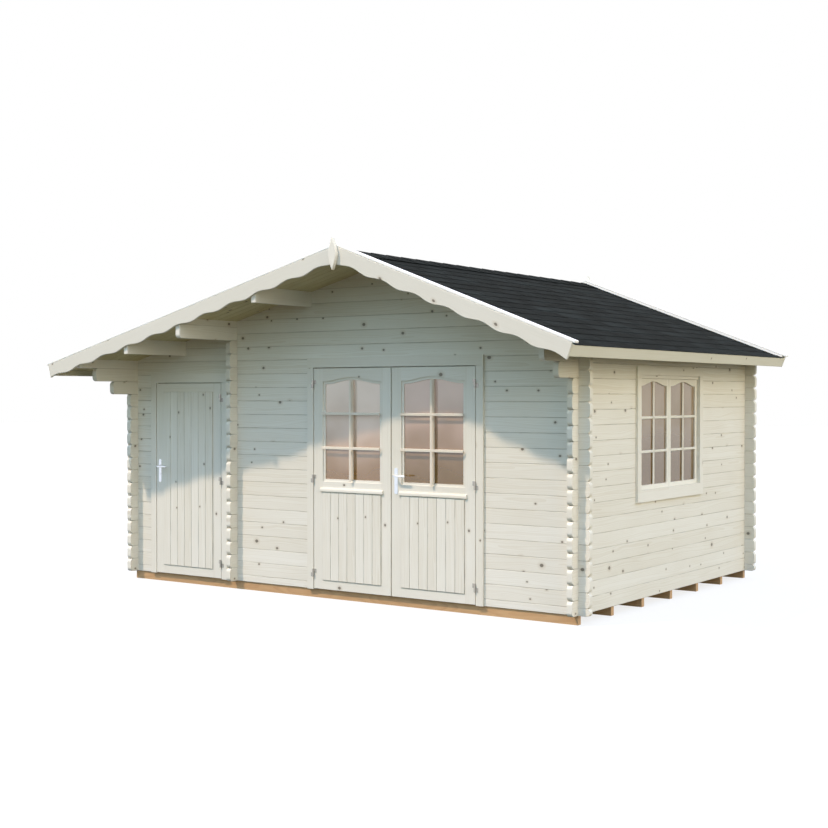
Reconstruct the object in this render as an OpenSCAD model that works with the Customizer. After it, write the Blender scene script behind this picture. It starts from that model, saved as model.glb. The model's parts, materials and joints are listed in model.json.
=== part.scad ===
// Log cabin with a main room and a store room under one uneven gable roof.
// Modelled with x = 0 under the ridge, y = 0 on the front wall's outer face and z = 0 on the bearers.
// placed() then moves it so that the origin is the middle of the footprint on the ground.

/* [Log walls] */
// Height of one log course
log_h = 114; // [100:1:130]
// Thickness of a log
log_t = 44; // [36:1:60]
// Length of a log end beyond the wall that it crosses
end_len = 93; // [70:1:120]
// Radius that rounds the corners of a log end
end_r = 32; // [8:1:40]
// Length of the side walls' log ends beyond the back wall
back_end = 55; // [45:1:93]
// Chamfer along the long edges of a log
edge = 3; // [1:0.5:8]
// Step from one corbel log to the next under the front eaves
corbel_step = 202; // [100:1:240]

/* [Plan] */
// Main room, from the partition's outer face to the right wall's outer face
main_w = 3332; // [3000:1:4000]
// Store room, from the left wall's outer face to the partition
store_w = 1209; // [1150:1:1500]
// Depth over the outer faces of the front and back walls
depth = 3204; // [2800:1:4000]

/* [Base] */
// Width of a bearer
bearer_w = 45; // [36:1:70]
// Height of a bearer
bearer_h = 70; // [45:1:100]
// Number of bearers under the floor
bearer_count = 7; // [5:1:9]
// How far the ends of the bearers stay inside the side walls' outer faces
bearer_inset = 9; // [5:1:30]
// First and last bearer behind the outer faces of the front and back walls
bearer_back = 12; // [0:1:16]
// Thickness of the floor boards
floor_t = 19; // [16:1:28]
// Room left round the floor boards
floor_gap = 8; // [5:1:15]

/* [Roof] */
// Height of the ridge above the bearers, under the roof boards
ridge_h = 2645; // [2500:1:2800]
// Angle of the right slope in degrees
angle_right = 20.9; // [18:0.1:23]
// Angle of the left slope in degrees
angle_left = 14.75; // [13:0.05:16]
// Roof boards beyond the front wall
front_over = 690; // [620:1:800]
// Roof boards beyond the log ends at the back
back_margin = 8; // [4:1:60]
// Roof boards beyond the side walls, measured level
eave_over = 300; // [200:1:350]
// Thickness of the roof boards
board_t = 19; // [16:1:24]
// Thickness of the roof covering
cover_t = 6; // [3:0.5:10]
// Height of a purlin
purlin_h = 118; // [95:1:150]
// Height of the ridge purlin and the purlin right of it
ridge_purlin_h = 76; // [60:1:100]

/* [Roof trim] */
// Mean height of a barge board
barge_h = 115; // [90:1:140]
// Top of a barge board above the roof covering
barge_up = 26; // [14:1:40]
// Thickness of a barge board
barge_t = 20; // [14:1:28]
// Half the height of the wave on a barge board's lower edge
wave_a = 10; // [4:0.5:16]
// Length of one wave
wave_len = 303; // [200:1:400]
// How far down the slope the first wave begins
wave_start = 37; // [0:1:100]
// Width of a cover strip on the roof's edge
strip_w = 52; // [30:1:80]
// Thickness of a cover strip
strip_t = 18; // [12:1:24]
// Cover strip beyond the eave board
strip_over = 18; // [8:1:40]
// Height of an eave board
eave_h = 83; // [60:1:100]
// Top of an eave board above the roof covering
eave_up = 9; // [4:1:12]
// Thickness of an eave board
eave_t = 18; // [12:1:24]
// Width of a ridge finial
finial_w = 72; // [50:1:100]
// Height of a finial above the ridge
finial_up = 115; // [90:1:140]
// Length of a finial below the ridge
finial_down = 130; // [110:1:200]
// Thickness of a finial
finial_t = 34; // [12:1:44]

/* [Doors] */
// Width of one door leaf
leaf_w = 776; // [740:1:800]
// Head of the double door's leaves below the ridge
door_drop = 840; // [790:1:900]
// Thickness of a leaf
leaf_t = 40; // [36:1:44]
// Gap between the two leaves of the double door
meet_gap = 10; // [8:1:14]
// Gap round a leaf
leaf_gap = 7; // [5:1:10]
// Face of a leaf behind the casing's face
leaf_set = 2; // [1:0.5:6]
// Centre of the double door, to the right of the ridge
door_x = 18; // [-40:1:60]
// Store room's leaf, from its hinged edge to the partition
store_door_gap = 131; // [125:1:140]
// Width of a leaf's stiles
stile_w = 92; // [80:1:100]
// Height of a leaf's bottom rail
bottom_rail = 72; // [60:1:120]
// Height of the boarded panel in a glazed leaf
panel_h = 722; // [680:1:740]
// Height of a glazed leaf's middle rail
mid_rail = 86; // [70:1:100]
// Height of a leaf's top rail
top_rail = 72; // [60:1:90]
// Thickness of a boarded panel
panel_t = 22; // [18:1:28]
// How far a boarded panel stands out from a leaf's face
panel_out = 8; // [4:1:10]
// Width of the glazing bead round a door's glass
bead_w = 20; // [10:1:26]
// Depth of the rebate in front of the glazing bead
bead_d = 10; // [6:1:12]
// Height of the weather bar on the middle rail
drip_h = 32; // [24:1:50]
// How far the weather bar stands out
drip_out = 16; // [12:1:20]
// Height of the weather bar's front edge
drip_edge = 12; // [6:1:16]
// Weather bar above the foot of the middle rail
drip_up = 4; // [2:1:20]
// Rise of the arched top of a pane
arch_rise = 36; // [20:1:50]

/* [Window] */
// Number of log courses under the window
window_course_count = 7; // [6:1:8]
// Head of the window opening below that of the double door
window_drop = 67; // [30:1:100]
// Width of the window opening
window_w = 1180; // [900:1:1400]
// Middle of the window behind the front wall's outer face
window_y = 1550; // [1300:1:1700]
// Width of a sash's stiles and top rail
sash_bar = 38; // [30:1:50]
// Height of a sash's bottom rail
sash_foot = 54; // [40:1:70]
// Height of a sash's top rail at the middle of its arch
sash_head = 22; // [16:1:50]
// Thickness of a sash
sash_t = 30; // [24:1:36]
// Face of a sash behind the wall's face
sash_out = 8; // [4:1:12]
// Gap round a sash
sash_gap = 2; // [1:0.5:4]

/* [Frames and fittings] */
// Thickness of a door or window lining
lining_t = 30; // [20:1:40]
// How far a lining reaches into the room
lining_in = 14; // [4:1:20]
// Width of a casing board
casing_w = 64; // [50:1:80]
// Thickness of a casing board
casing_t = 20; // [14:1:24]
// Extra height of the casing board under the window
apron = 10; // [0:1:30]
// How far the window's lower casing covers the sashes
sill_lap = 20; // [0:1:30]
// Height of the window lining that shows under the upper casing
head_show = 26; // [0:1:40]
// Extra height of a casing board over a door
door_head = 15; // [0:1:30]
// Width of the stop behind a leaf
stop_w = 18; // [14:1:24]
// Height of a door sill
sill_h = 24; // [20:1:30]
// Thickness of a pane
glass_t = 6; // [4:1:10]
// Radius of a hinge barrel
barrel_r = 7; // [5:0.5:8]
// Length of one half of a hinge barrel
barrel_len = 32; // [20:1:45]
// Room between a hinge barrel and the casing
barrel_gap = 2; // [1:0.5:4]
// Radius of a hinge pin
pin_r = 4; // [2.5:0.5:4]
// Thickness of a hinge plate
hinge_plate_t = 2.5; // [2:0.5:4]
// Width of a hinge plate
hinge_plate_w = 26; // [20:1:40]
// Distance of the outer hinges from the ends of a leaf
hinge_end = 128; // [100:1:200]
// Height of a door handle above the leaf's foot
handle_h = 950; // [850:1:1050]
// Middle of a handle from the leaf's free edge
spindle_x = 44; // [38:1:48]
// Length of a lever
lever_len = 118; // [90:1:140]
// Radius of a lever
lever_r = 9; // [7:0.5:11]
// How far a lever stands off its plate
lever_off = 46; // [40:1:60]
// Width of a handle plate
plate_w = 32; // [28:1:40]
// Height of a handle plate
plate_h = 204; // [160:1:240]
// Thickness of a handle plate
plate_t = 4; // [2:0.5:6]

/* [Hidden] */
// Gap between pieces that rest on each other
seat = 0.3;
// Running clearance of a pin or spindle
play = 0.1;
// Straight steps in a quarter of a rounded log end
arc_n = 6;
// Steps in one wave of a barge board
wave_n = 14;
// Steps in the arched top of a pane
arch_n = 20;
// Steps in one side of a finial's upper or lower half
leaf_n = 6;
// Steps in the rounded front of a weather bar
round_n = 6;
// More than any wall is long
far = 20000;

x_right = main_w / 2;
x_part = -main_w / 2;
x_left = x_part - store_w;
notch = log_h / 4;

right_n = round(roof_z(x_right) / log_h);
left_n = round(roof_z(x_left) / log_h);
part_n = round(roof_z(x_part) / log_h);
gable_n = round(ridge_h / log_h - 0.5);

back_over = back_end + back_margin;
y_front = -front_over;
y_back = depth + back_over;
cover_top = board_t + seat + cover_t;
barge_front = y_front - seat - barge_t;
barge_back = y_back + seat + barge_t;
slope_right = (x_right + eave_over) / cos(angle_right);
slope_left = (-x_left + eave_over) / cos(angle_left);
barge_top = cover_top + barge_up;
eave_top = cover_top + eave_up;
eave_foot = eave_top - eave_h;
strip_top = barge_top + seat + strip_t;
x_lo = on_slope(-1, slope_left + eave_t + strip_over, strip_top)[0];
x_hi = on_slope(1, slope_right + eave_t + strip_over, strip_top)[0];
y_lo = barge_front - seat - finial_t;
y_hi = barge_back + seat + finial_t;
lift = bearer_h + seat;

purlin_x = [0, (x_part + log_t / 2) / 2, (x_part + x_left + log_t) / 2, (x_right - log_t / 2) / 2];

leaf_foot = leaf_gap;
leaf_h = ridge_h - door_drop - leaf_foot;
store_leaf_h = leaf_h - log_h;
leaf_out = -casing_t + leaf_set;
leaf_in = leaf_out + leaf_t;
pair_w = 2 * leaf_w + meet_gap;
main_half = pair_w / 2 + leaf_gap;
main_top = leaf_foot + leaf_h + leaf_gap;
store_c = x_part - store_door_gap - leaf_w / 2;
store_half = leaf_w / 2 + leaf_gap;
store_top = leaf_foot + store_leaf_h + leaf_gap;
hinge_off = leaf_gap / 2;
hinge_y = -casing_t - seat - barrel_r - barrel_gap;
pane_w = leaf_w - 2 * stile_w;
window_foot = window_course_count * log_h;
window_h = main_top + lining_t - window_drop - window_foot;
win_in_w = window_w - 2 * lining_t;
win_in_h = window_h - 2 * lining_t - head_show;
sash_w = (win_in_w - 3 * sash_gap) / 2;
sash_h = win_in_h - seat - sash_gap;

// Colours of the materials
wood = "#ddd7c6";
treated = "#b98f5f";
felt = "#34383a";
pane = "#a9aaa2";
metal = "#c9ced3";

// Roof geometry: z under the boards at x, and a point u down the slope and w above the underside
function angle(s) = s > 0 ? angle_right : angle_left;
function roof_z(x) = ridge_h - abs(x) * tan(angle(x));
function on_slope(s, u, w) =
    [s * (u * cos(angle(s)) + w * sin(angle(s))), ridge_h - u * sin(angle(s)) + w * cos(angle(s))];
function by_ridge(s, w) = [s * seat / 2, ridge_h - seat / 2 * tan(angle(s)) + w / cos(angle(s))];
function slope_len(s) = s > 0 ? slope_right : slope_left;

// Log geometry: foot and head of a front course, whose first log is half as high, and of a side course
function front_foot(i) = i == 0 ? 0 : (i - 0.5) * log_h;
function front_head(i) = (i + 0.5) * log_h - seat;
function side_foot(j) = j * log_h;
function side_head(j) = (j + 1) * log_h - seat;
function turned(r, t) = r * [cos(t), sin(t)];
function turn(x, z, r, from) =
    r == 0 ? [[x, z]] : [for (i = [0 : arc_n]) [x, z] + turned(r, from + 90 * i / arc_n)];

// Moves the building onto the part's own origin
module placed() {
    translate([-(x_lo + x_hi) / 2, -(y_lo + y_hi) / 2, lift]) children();
}

// Extrudes an outline drawn in x and z from y0 to y1
module slab(y0, y1) {
    translate([0, y1, 0]) rotate([90, 0, 0]) linear_extrude(y1 - y0) children();
}

// Extrudes a profile drawn in y and z from x0 to x1
module bar(x0, x1) {
    translate([x0, 0, 0]) rotate([90, 0, 90]) linear_extrude(x1 - x0) children();
}

module rect(x0, z0, x1, z1) {
    translate([x0, z0]) square([x1 - x0, z1 - z0]);
}

// Outline of a log from a to b, with its ends rounded by up to ra and rb
module log_outline(a, b, z0, z1, end_a, end_b) {
    ra = min(end_a, (z1 - z0) / 2 - 1);
    rb = min(end_b, (z1 - z0) / 2 - 1);
    polygon(concat(
        turn(a + ra, z0 + ra, ra, 180), turn(b - rb, z0 + rb, rb, 270),
        turn(b - rb, z1 - rb, rb, 0), turn(a + ra, z1 - ra, ra, 90)
    ));
}

// A log with chamfered long edges; the child is its outline along the wall
module log_body(z0, z1) {
    intersection() {
        slab(0, log_t) children();
        bar(-far, far) polygon([
            [edge, z0], [log_t - edge, z0], [log_t, z0 + edge], [log_t, z1 - edge],
            [log_t - edge, z1], [edge, z1], [0, z1 - edge], [0, z0 + edge]
        ]);
    }
}

// Room under the roof boards, as an outline and as a cut of the children
module under_roof() {
    polygon([
        [-far, -far], [far, -far],
        [far, roof_z(far) - seat], [0, ridge_h - seat], [-far, roof_z(-far) - seat]
    ]);
}

module cut_by_roof(cut) {
    if (cut) intersection() {
        children();
        slab(-far, far) under_roof();
    }
    else children();
}

// Notches of a log where it crosses a wall that starts at a
module cross_notches(a, z0, z1, low, high) {
    if (low) rect(a - seat, z0 - 1, a + log_t + seat, z0 + notch + seat / 2);
    if (high) rect(a - seat, z1 - notch + seat / 2, a + log_t + seat, z1 + 1);
}

// A purlin's section, or the hole for it with room g round it
module purlin_section(x, g) {
    half = log_t / 2 + g;
    foot = roof_z(abs(x) < half ? half : x) - (x >= 0 ? ridge_purlin_h : purlin_h) - g;
    intersection() {
        rect(x - half, foot, x + half, ridge_h + 1);
        translate([0, g + (g > 0 ? 1 : 0)]) under_roof();
    }
}

// One course of a gable wall between a and b, before it is cut for doors
module gable_log(i, a, b, ra, rb) {
    z0 = front_foot(i);
    z1 = i == gable_n ? ridge_h + log_h : front_head(i);
    log_body(z0, z1) difference() {
        intersection() {
            log_outline(
                i >= left_n && a < x_left ? x_left + log_t + seat : a,
                i >= right_n && b > x_right ? x_right - log_t - seat : b,
                z0, z1,
                i >= left_n ? 0 : ra, i >= right_n ? 0 : rb
            );
            under_roof();
        }
        if (i < left_n && a < x_left) cross_notches(x_left, z0, z1, i > 0, true);
        if (i < right_n && b > x_right) cross_notches(x_right - log_t, z0, z1, i > 0, true);
        if (a < x_part && b > x_part) {
            if (i < part_n) cross_notches(x_part, z0, z1, i > 0, true);
            else rect(x_part - seat, side_foot(part_n - 1) - seat, x_part + log_t + seat, ridge_h);
        }
        for (x = purlin_x) purlin_section(x, seat);
        children();
    }
}

// Openings cut through the front wall
module main_opening() {
    rect(door_x - main_half - lining_t, -1, door_x + main_half + lining_t, main_top + lining_t);
}

module store_opening() {
    rect(store_c - store_half - lining_t, -1, store_c + store_half + lining_t, store_top + lining_t);
}

function under_main(i) = front_head(i) <= main_top + lining_t;
function under_store(i) = front_head(i) <= store_top + lining_t;

module front_wall_left() {
    color(wood) placed() for (i = [0 : gable_n])
        if (under_store(i))
            gable_log(i, x_left - end_len, store_c - store_half - lining_t, end_r, 0);
}

module front_wall_middle() {
    color(wood) placed() for (i = [0 : gable_n])
        if (under_main(i)) {
            if (under_store(i))
                gable_log(i, store_c + store_half + lining_t, door_x - main_half - lining_t, 0, 0);
            else
                gable_log(i, x_left - end_len, door_x - main_half - lining_t, end_r, 0) store_opening();
        }
}

module front_wall_right() {
    color(wood) placed() for (i = [0 : gable_n])
        if (under_main(i))
            gable_log(i, door_x + main_half + lining_t, x_right + end_len, 0, end_r);
}

module front_gable() {
    color(wood) placed() for (i = [0 : gable_n])
        if (!under_main(i))
            gable_log(i, x_left - end_len, x_right + end_len, end_r, end_r) {
                main_opening();
                store_opening();
            }
}

module back_wall() {
    color(wood) placed() translate([0, depth - log_t, 0]) for (i = [0 : gable_n])
        gable_log(i, x_left - end_len, x_right + end_len, end_r, end_r);
}

// A wall from front to back whose outer face is x0 + log_t or x0; corbels is the number of stepped logs
module side_wall(x0, n, corbels) {
    for (j = [0 : n - 1]) {
        top = j == n - 1;
        z0 = side_foot(j);
        z1 = top ? ridge_h : side_head(j);
        step = max(0, j - (n - 2 - corbels));
        cut_by_roof(top) translate([x0 + log_t, 0, 0]) rotate([0, 0, 90]) log_body(z0, z1) difference() {
            log_outline(
                top ? y_front : -end_len - step * corbel_step,
                top ? y_back : depth + back_end,
                z0, z1, end_r, end_r
            );
            cross_notches(0, z0, z1, true, !top);
            cross_notches(depth - log_t, z0, z1, true, !top);
            children();
        }
    }
}

module left_wall() {
    color(wood) placed() side_wall(x_left, left_n, 2);
}

module right_wall() {
    color(wood) placed() side_wall(x_right - log_t, right_n, 2)
        rect(window_y - window_w / 2, window_foot, window_y + window_w / 2, window_foot + window_h);
}

module partition_wall() {
    color(wood) placed() side_wall(x_part, part_n, 0);
}

// Base
module floor_bearers() {
    pitch_y = (depth - bearer_w - 2 * bearer_back) / (bearer_count - 1);
    color(treated) placed() for (i = [0 : bearer_count - 1])
        translate([x_left + bearer_inset, bearer_back + i * pitch_y, -lift])
            cube([x_right - x_left - 2 * bearer_inset, bearer_w, bearer_h]);
}

module room_floor(x0, x1) {
    y0 = log_t + lining_in + floor_gap;
    y1 = depth - log_t - floor_gap;
    translate([x0 + floor_gap, y0, 0]) cube([x1 - x0 - 2 * floor_gap, y1 - y0, floor_t]);
}

module main_floor() {
    color(wood) placed() room_floor(x_part + log_t, x_right - log_t);
}

module store_floor() {
    color(wood) placed() room_floor(x_left + log_t, x_part);
}

// Roof
module purlins() {
    color(wood) placed() slab(y_front, y_back) for (x = purlin_x) purlin_section(x, 0);
}

// A layer of one slope between heights w0 and w1, reaching past the boards by more
module roof_layer(s, w0, w1, more) {
    end = slope_len(s) + more;
    polygon([by_ridge(s, w0), on_slope(s, end, w0), on_slope(s, end, w1), by_ridge(s, w1)]);
}

module roof_boards_left() {
    color(wood) placed() slab(y_front, y_back) roof_layer(-1, 0, board_t, 0);
}

module roof_boards_right() {
    color(wood) placed() slab(y_front, y_back) roof_layer(1, 0, board_t, 0);
}

module roof_covering_left() {
    color(felt) placed() slab(y_front, y_back) roof_layer(-1, board_t + seat, cover_top, 0);
}

module roof_covering_right() {
    color(felt) placed() slab(y_front, y_back) roof_layer(1, board_t + seat, cover_top, 0);
}

// Barge board with a wavy lower edge
function wave_foot(u) = barge_top - barge_h - wave_a * cos(360 * (u - wave_start) / wave_len);

module barge_outline(s) {
    end = slope_len(s) + eave_t;
    steps = round(end / wave_len * wave_n);
    wave = [for (i = [steps : -1 : 1]) on_slope(s, end * i / steps, wave_foot(end * i / steps))];
    polygon(concat(
        [by_ridge(s, barge_top), on_slope(s, end, barge_top)],
        [for (p = wave) if (s * p[0] > wave_a) p],
        [by_ridge(s, wave_foot(0))]
    ));
}

module front_barge_boards() {
    color(wood) placed() for (s = [-1, 1])
        slab(barge_front, barge_front + barge_t) barge_outline(s);
}

// At the back the boards are plain, and end level with the foot of the eave boards
module back_barge_boards() {
    color(wood) placed() for (s = [-1, 1])
        slab(barge_back - barge_t, barge_back) roof_layer(s, eave_foot, barge_top, eave_t);
}

module strip_pair(y0) {
    for (s = [-1, 1])
        slab(y0, y0 + strip_w) roof_layer(s, barge_top + seat, strip_top, eave_t + strip_over);
}

module front_cover_strips() {
    color(wood) placed() strip_pair(barge_front);
}

module back_cover_strips() {
    color(wood) placed() strip_pair(barge_back - strip_w);
}

// A finial is a pointed leaf, widest a little below the ridge
function finial_half(t) = finial_w / 2 * (1 - pow(abs(t), 1.5));
finial_low = finial_w / 6;
function finial_z(t) =
    ridge_h - finial_low + t * (t > 0 ? finial_up + finial_low : finial_down - finial_low);

module finial_outline() {
    polygon(concat(
        [for (i = [-leaf_n : leaf_n]) [finial_half(i / leaf_n), finial_z(i / leaf_n)]],
        [for (i = [leaf_n - 1 : -1 : 1 - leaf_n]) [-finial_half(i / leaf_n), finial_z(i / leaf_n)]]
    ));
}

module finials() {
    color(wood) placed() {
        slab(y_lo, y_lo + finial_t) finial_outline();
        slab(y_hi - finial_t, y_hi) finial_outline();
    }
}

module eave_boards() {
    color(wood) placed() slab(y_front, y_back) for (s = [-1, 1]) {
        u0 = slope_len(s) + seat;
        u1 = slope_len(s) + eave_t;
        polygon([
            on_slope(s, u0, eave_top), on_slope(s, u1, eave_top),
            on_slope(s, u1, eave_foot), on_slope(s, u0, eave_foot)
        ]);
    }
}

// Door frames: a lining with a stop and a sill, round an opening of half width half and height top
module door_lining(c, half, top) {
    side = half + lining_t - seat;
    difference() {
        slab(0, log_t + lining_in) rect(c - side, 0, c + side, top + lining_t - seat);
        slab(-1, leaf_in + leaf_gap) rect(c - half, -1, c + half, top);
        slab(-1, log_t + lining_in + 1) rect(c - half + stop_w, sill_h, c + half - stop_w, top - stop_w);
    }
}

// Casing boards on the wall's outer face: two uprights under a head
module door_casing(c, half, top) {
    slab(-casing_t - seat, -seat) {
        rect(c - half - casing_w, 0, c - half, top);
        rect(c + half, 0, c + half + casing_w, top);
        rect(c - half - casing_w, top + seat, c + half + casing_w, top + seat + casing_w + door_head);
    }
}

// Hinges: h is the leaf's height, s = 1 where the leaf lies to the left of its hinges
function hinge_heights(h) = [for (k = [0, 0.5, 1]) leaf_foot + hinge_end + k * (h - 2 * hinge_end)];

module frame_knuckles(x, h, s) {
    for (z = hinge_heights(h)) translate([x, hinge_y, z]) {
        translate([0, 0, -barrel_len]) cylinder(r = barrel_r, h = barrel_len);
        cylinder(r = pin_r, h = barrel_len);
        plate_y = -casing_t - seat - hinge_y;
        mirror([s > 0 ? 0 : 1, 0, 0]) translate([0, 0, -barrel_len]) {
            cube([hinge_off + hinge_plate_t, plate_y - seat, barrel_len]);
            translate([0, plate_y - seat - hinge_plate_t, 0])
                cube([hinge_plate_w, hinge_plate_t, barrel_len]);
        }
    }
}

module leaf_knuckles(x, h, s) {
    for (z = hinge_heights(h)) translate([x, hinge_y, z + seat]) difference() {
        union() {
            cylinder(r = barrel_r, h = barrel_len);
            plate_y = leaf_out - hinge_y;
            mirror([s > 0 ? 1 : 0, 0, 0]) {
                cube([hinge_off + hinge_plate_t, plate_y - seat, barrel_len]);
                translate([0, plate_y - seat - hinge_plate_t, 0])
                    cube([hinge_plate_w, hinge_plate_t, barrel_len]);
            }
        }
        translate([0, 0, -1]) cylinder(r = pin_r + play, h = barrel_len + 2);
    }
}

// Leaf outlines, from the leaf's left foot
function arch_top(w, z, rise) =
    [for (i = [0 : arch_n]) let (s = 1 - 2 * i / arch_n) [s * w / 2, z + rise * (1 + cos(180 * s)) / 2]];

module arched_pane(w, z0, z1, rise) {
    polygon(concat([[-w / 2, z0], [w / 2, z0]], arch_top(w, z1 - rise, rise)));
}

module leaf_panel_area(h, g) {
    rect(stile_w + g, bottom_rail + g, leaf_w - stile_w - g, bottom_rail + h - g);
}

module door_pane(g) {
    foot = bottom_rail + panel_h + mid_rail;
    translate([leaf_w / 2, 0])
        arched_pane(pane_w - 2 * g, foot + g, leaf_h - top_rail - g, arch_rise);
}

module spindle_hole(x) {
    translate([x, leaf_out - leaf_t, handle_h]) rotate([-90, 0, 0])
        cylinder(r = lever_r + play, h = 3 * leaf_t);
}

module weather_bar() {
    foot = bottom_rail + panel_h + drip_up;
    nose = [for (i = [0 : round_n]) let (t = 90 * i / round_n)
        [leaf_out - drip_out * cos(t), foot + drip_edge + (drip_h - drip_edge) * sin(t)]];
    bar(stile_w - bead_w, leaf_w - stile_w + bead_w)
        polygon(concat(
            [[leaf_out + 1, foot], [leaf_out - drip_out, foot]], nose, [[leaf_out + 1, foot + drip_h]]
        ));
}

module glazed_leaf(x, handle) {
    translate([x, 0, leaf_foot]) difference() {
        union() {
            slab(leaf_out, leaf_in) difference() {
                square([leaf_w, leaf_h]);
                leaf_panel_area(panel_h, 0);
                door_pane(bead_w);
            }
            weather_bar();
        }
        slab(leaf_out - 1, leaf_out + bead_d) door_pane(0);
        slab(leaf_in - bead_d, leaf_in + 1) door_pane(0);
        if (handle) spindle_hole(spindle_x);
    }
}

module leaf_panel(x, h) {
    y0 = leaf_out - panel_out;
    translate([x, 0, leaf_foot]) slab(y0, y0 + panel_t) leaf_panel_area(h, seat);
}

module leaf_glass(x) {
    mid = (leaf_out + leaf_in) / 2;
    translate([x, 0, leaf_foot]) slab(mid - glass_t / 2, mid + glass_t / 2) door_pane(bead_w + seat);
}

// Handles: plates on both faces of a leaf, and one lever each side on a common spindle
module handle_plates(x) {
    foot = handle_h - plate_h * 0.7;
    translate([x + spindle_x, 0, leaf_foot]) difference() {
        for (y0 = [leaf_out - seat - plate_t, leaf_in + seat])
            slab(y0, y0 + plate_t) rect(-plate_w / 2, foot, plate_w / 2, foot + plate_h);
        spindle_hole(0);
    }
}

module handle_lever(x) {
    out = leaf_out - seat - plate_t - lever_off;
    in = leaf_in + seat + plate_t + lever_off;
    translate([x + spindle_x, 0, leaf_foot + handle_h]) {
        translate([0, out, 0]) rotate([-90, 0, 0]) cylinder(r = lever_r, h = in - out);
        for (y = [out, in]) translate([0, y, 0]) {
            sphere(r = lever_r);
            rotate([0, 90, 0]) cylinder(r = lever_r, h = lever_len - lever_r);
            translate([lever_len - lever_r, 0, 0]) sphere(r = lever_r);
        }
    }
}

left_x = door_x - pair_w / 2;
right_x = door_x + meet_gap / 2;
store_x = store_c - leaf_w / 2;

module main_door_frame() {
    color(wood) placed() door_lining(door_x, main_half, main_top);
}

module main_door_casing() {
    color(wood) placed() door_casing(door_x, main_half, main_top);
}

module main_frame_hinges() {
    color(metal) placed() {
        frame_knuckles(left_x - hinge_off, leaf_h, -1);
        frame_knuckles(right_x + leaf_w + hinge_off, leaf_h, 1);
    }
}

module left_leaf() {
    color(wood) placed() glazed_leaf(left_x, false);
}

module left_leaf_panel() {
    color(wood) placed() leaf_panel(left_x, panel_h);
}

module left_leaf_glass() {
    color(pane) placed() leaf_glass(left_x);
}

module left_leaf_hinges() {
    color(metal) placed() leaf_knuckles(left_x - hinge_off, leaf_h, -1);
}

module right_leaf() {
    color(wood) placed() glazed_leaf(right_x, true);
}

module right_leaf_panel() {
    color(wood) placed() leaf_panel(right_x, panel_h);
}

module right_leaf_glass() {
    color(pane) placed() leaf_glass(right_x);
}

module right_leaf_hinges() {
    color(metal) placed() leaf_knuckles(right_x + leaf_w + hinge_off, leaf_h, 1);
}

module main_handle_plates() {
    color(metal) placed() handle_plates(right_x);
}

module main_handle_lever() {
    color(metal) placed() handle_lever(right_x);
}

module store_door_frame() {
    color(wood) placed() door_lining(store_c, store_half, store_top);
}

module store_door_casing() {
    color(wood) placed() door_casing(store_c, store_half, store_top);
}

module store_frame_hinges() {
    color(metal) placed() frame_knuckles(store_x + leaf_w + hinge_off, store_leaf_h, 1);
}

module store_leaf() {
    color(wood) placed() translate([store_x, 0, leaf_foot]) difference() {
        slab(leaf_out, leaf_in) difference() {
            square([leaf_w, store_leaf_h]);
            leaf_panel_area(store_leaf_h - bottom_rail - top_rail, 0);
        }
        spindle_hole(spindle_x);
    }
}

module store_leaf_panel() {
    color(wood) placed() leaf_panel(store_x, store_leaf_h - bottom_rail - top_rail);
}

module store_leaf_hinges() {
    color(metal) placed() leaf_knuckles(store_x + leaf_w + hinge_off, store_leaf_h, 1);
}

module store_handle_plates() {
    color(metal) placed() handle_plates(store_x);
}

module store_handle_lever() {
    color(metal) placed() handle_lever(store_x);
}

// Window in the right wall, drawn in y and z with its outer side towards +x
module in_right_wall() {
    translate([x_right, window_y, window_foot]) rotate([0, 0, 90]) children();
}

module window_frame() {
    color(wood) placed() in_right_wall() slab(0, log_t + lining_in) difference() {
        rect(-window_w / 2 + seat, 0, window_w / 2 - seat, window_h - seat);
        rect(-win_in_w / 2, lining_t, win_in_w / 2, lining_t + win_in_h);
    }
}

module window_casing() {
    foot = lining_t - casing_w - apron;
    sill = lining_t + sill_lap;
    head = window_h - lining_t;
    color(wood) placed() in_right_wall() slab(-casing_t - seat, -seat) {
        rect(-win_in_w / 2 - casing_w, sill + seat, -win_in_w / 2, head - seat);
        rect(win_in_w / 2, sill + seat, win_in_w / 2 + casing_w, head - seat);
        rect(-win_in_w / 2 - casing_w, foot, win_in_w / 2 + casing_w, sill);
        rect(-win_in_w / 2 - casing_w, head, win_in_w / 2 + casing_w, head + casing_w);
    }
}

module sash_pane(g) {
    translate([sash_w / 2, 0]) arched_pane(
        sash_w - 2 * sash_bar - 2 * g, sash_foot + g, sash_h - sash_head - g, arch_rise
    );
}

module window_sashes() {
    color(wood) placed() in_right_wall() translate([0, 0, lining_t + seat])
        for (x0 = [-sash_w - sash_gap / 2, sash_gap / 2])
            translate([x0, 0, 0]) slab(sash_out, sash_out + sash_t) difference() {
                square([sash_w, sash_h]);
                sash_pane(0);
            }
}

module window_glass() {
    mid = sash_out + sash_t / 2;
    color(pane) placed() in_right_wall() translate([0, 0, lining_t + seat])
        for (x0 = [-sash_w - sash_gap / 2, sash_gap / 2])
            translate([x0, 0, 0]) slab(mid - glass_t / 2, mid + glass_t / 2) sash_pane(seat);
}

floor_bearers();
main_floor();
store_floor();
front_wall_left();
front_wall_middle();
front_wall_right();
front_gable();
back_wall();
left_wall();
right_wall();
partition_wall();
purlins();
roof_boards_left();
roof_boards_right();
roof_covering_left();
roof_covering_right();
front_barge_boards();
back_barge_boards();
front_cover_strips();
back_cover_strips();
finials();
eave_boards();
main_door_frame();
main_door_casing();
main_frame_hinges();
left_leaf();
left_leaf_panel();
left_leaf_glass();
left_leaf_hinges();
right_leaf();
right_leaf_panel();
right_leaf_glass();
right_leaf_hinges();
main_handle_plates();
main_handle_lever();
store_door_frame();
store_door_casing();
store_frame_hinges();
store_leaf();
store_leaf_panel();
store_leaf_hinges();
store_handle_plates();
store_handle_lever();
window_frame();
window_casing();
window_sashes();
window_glass();
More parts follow.
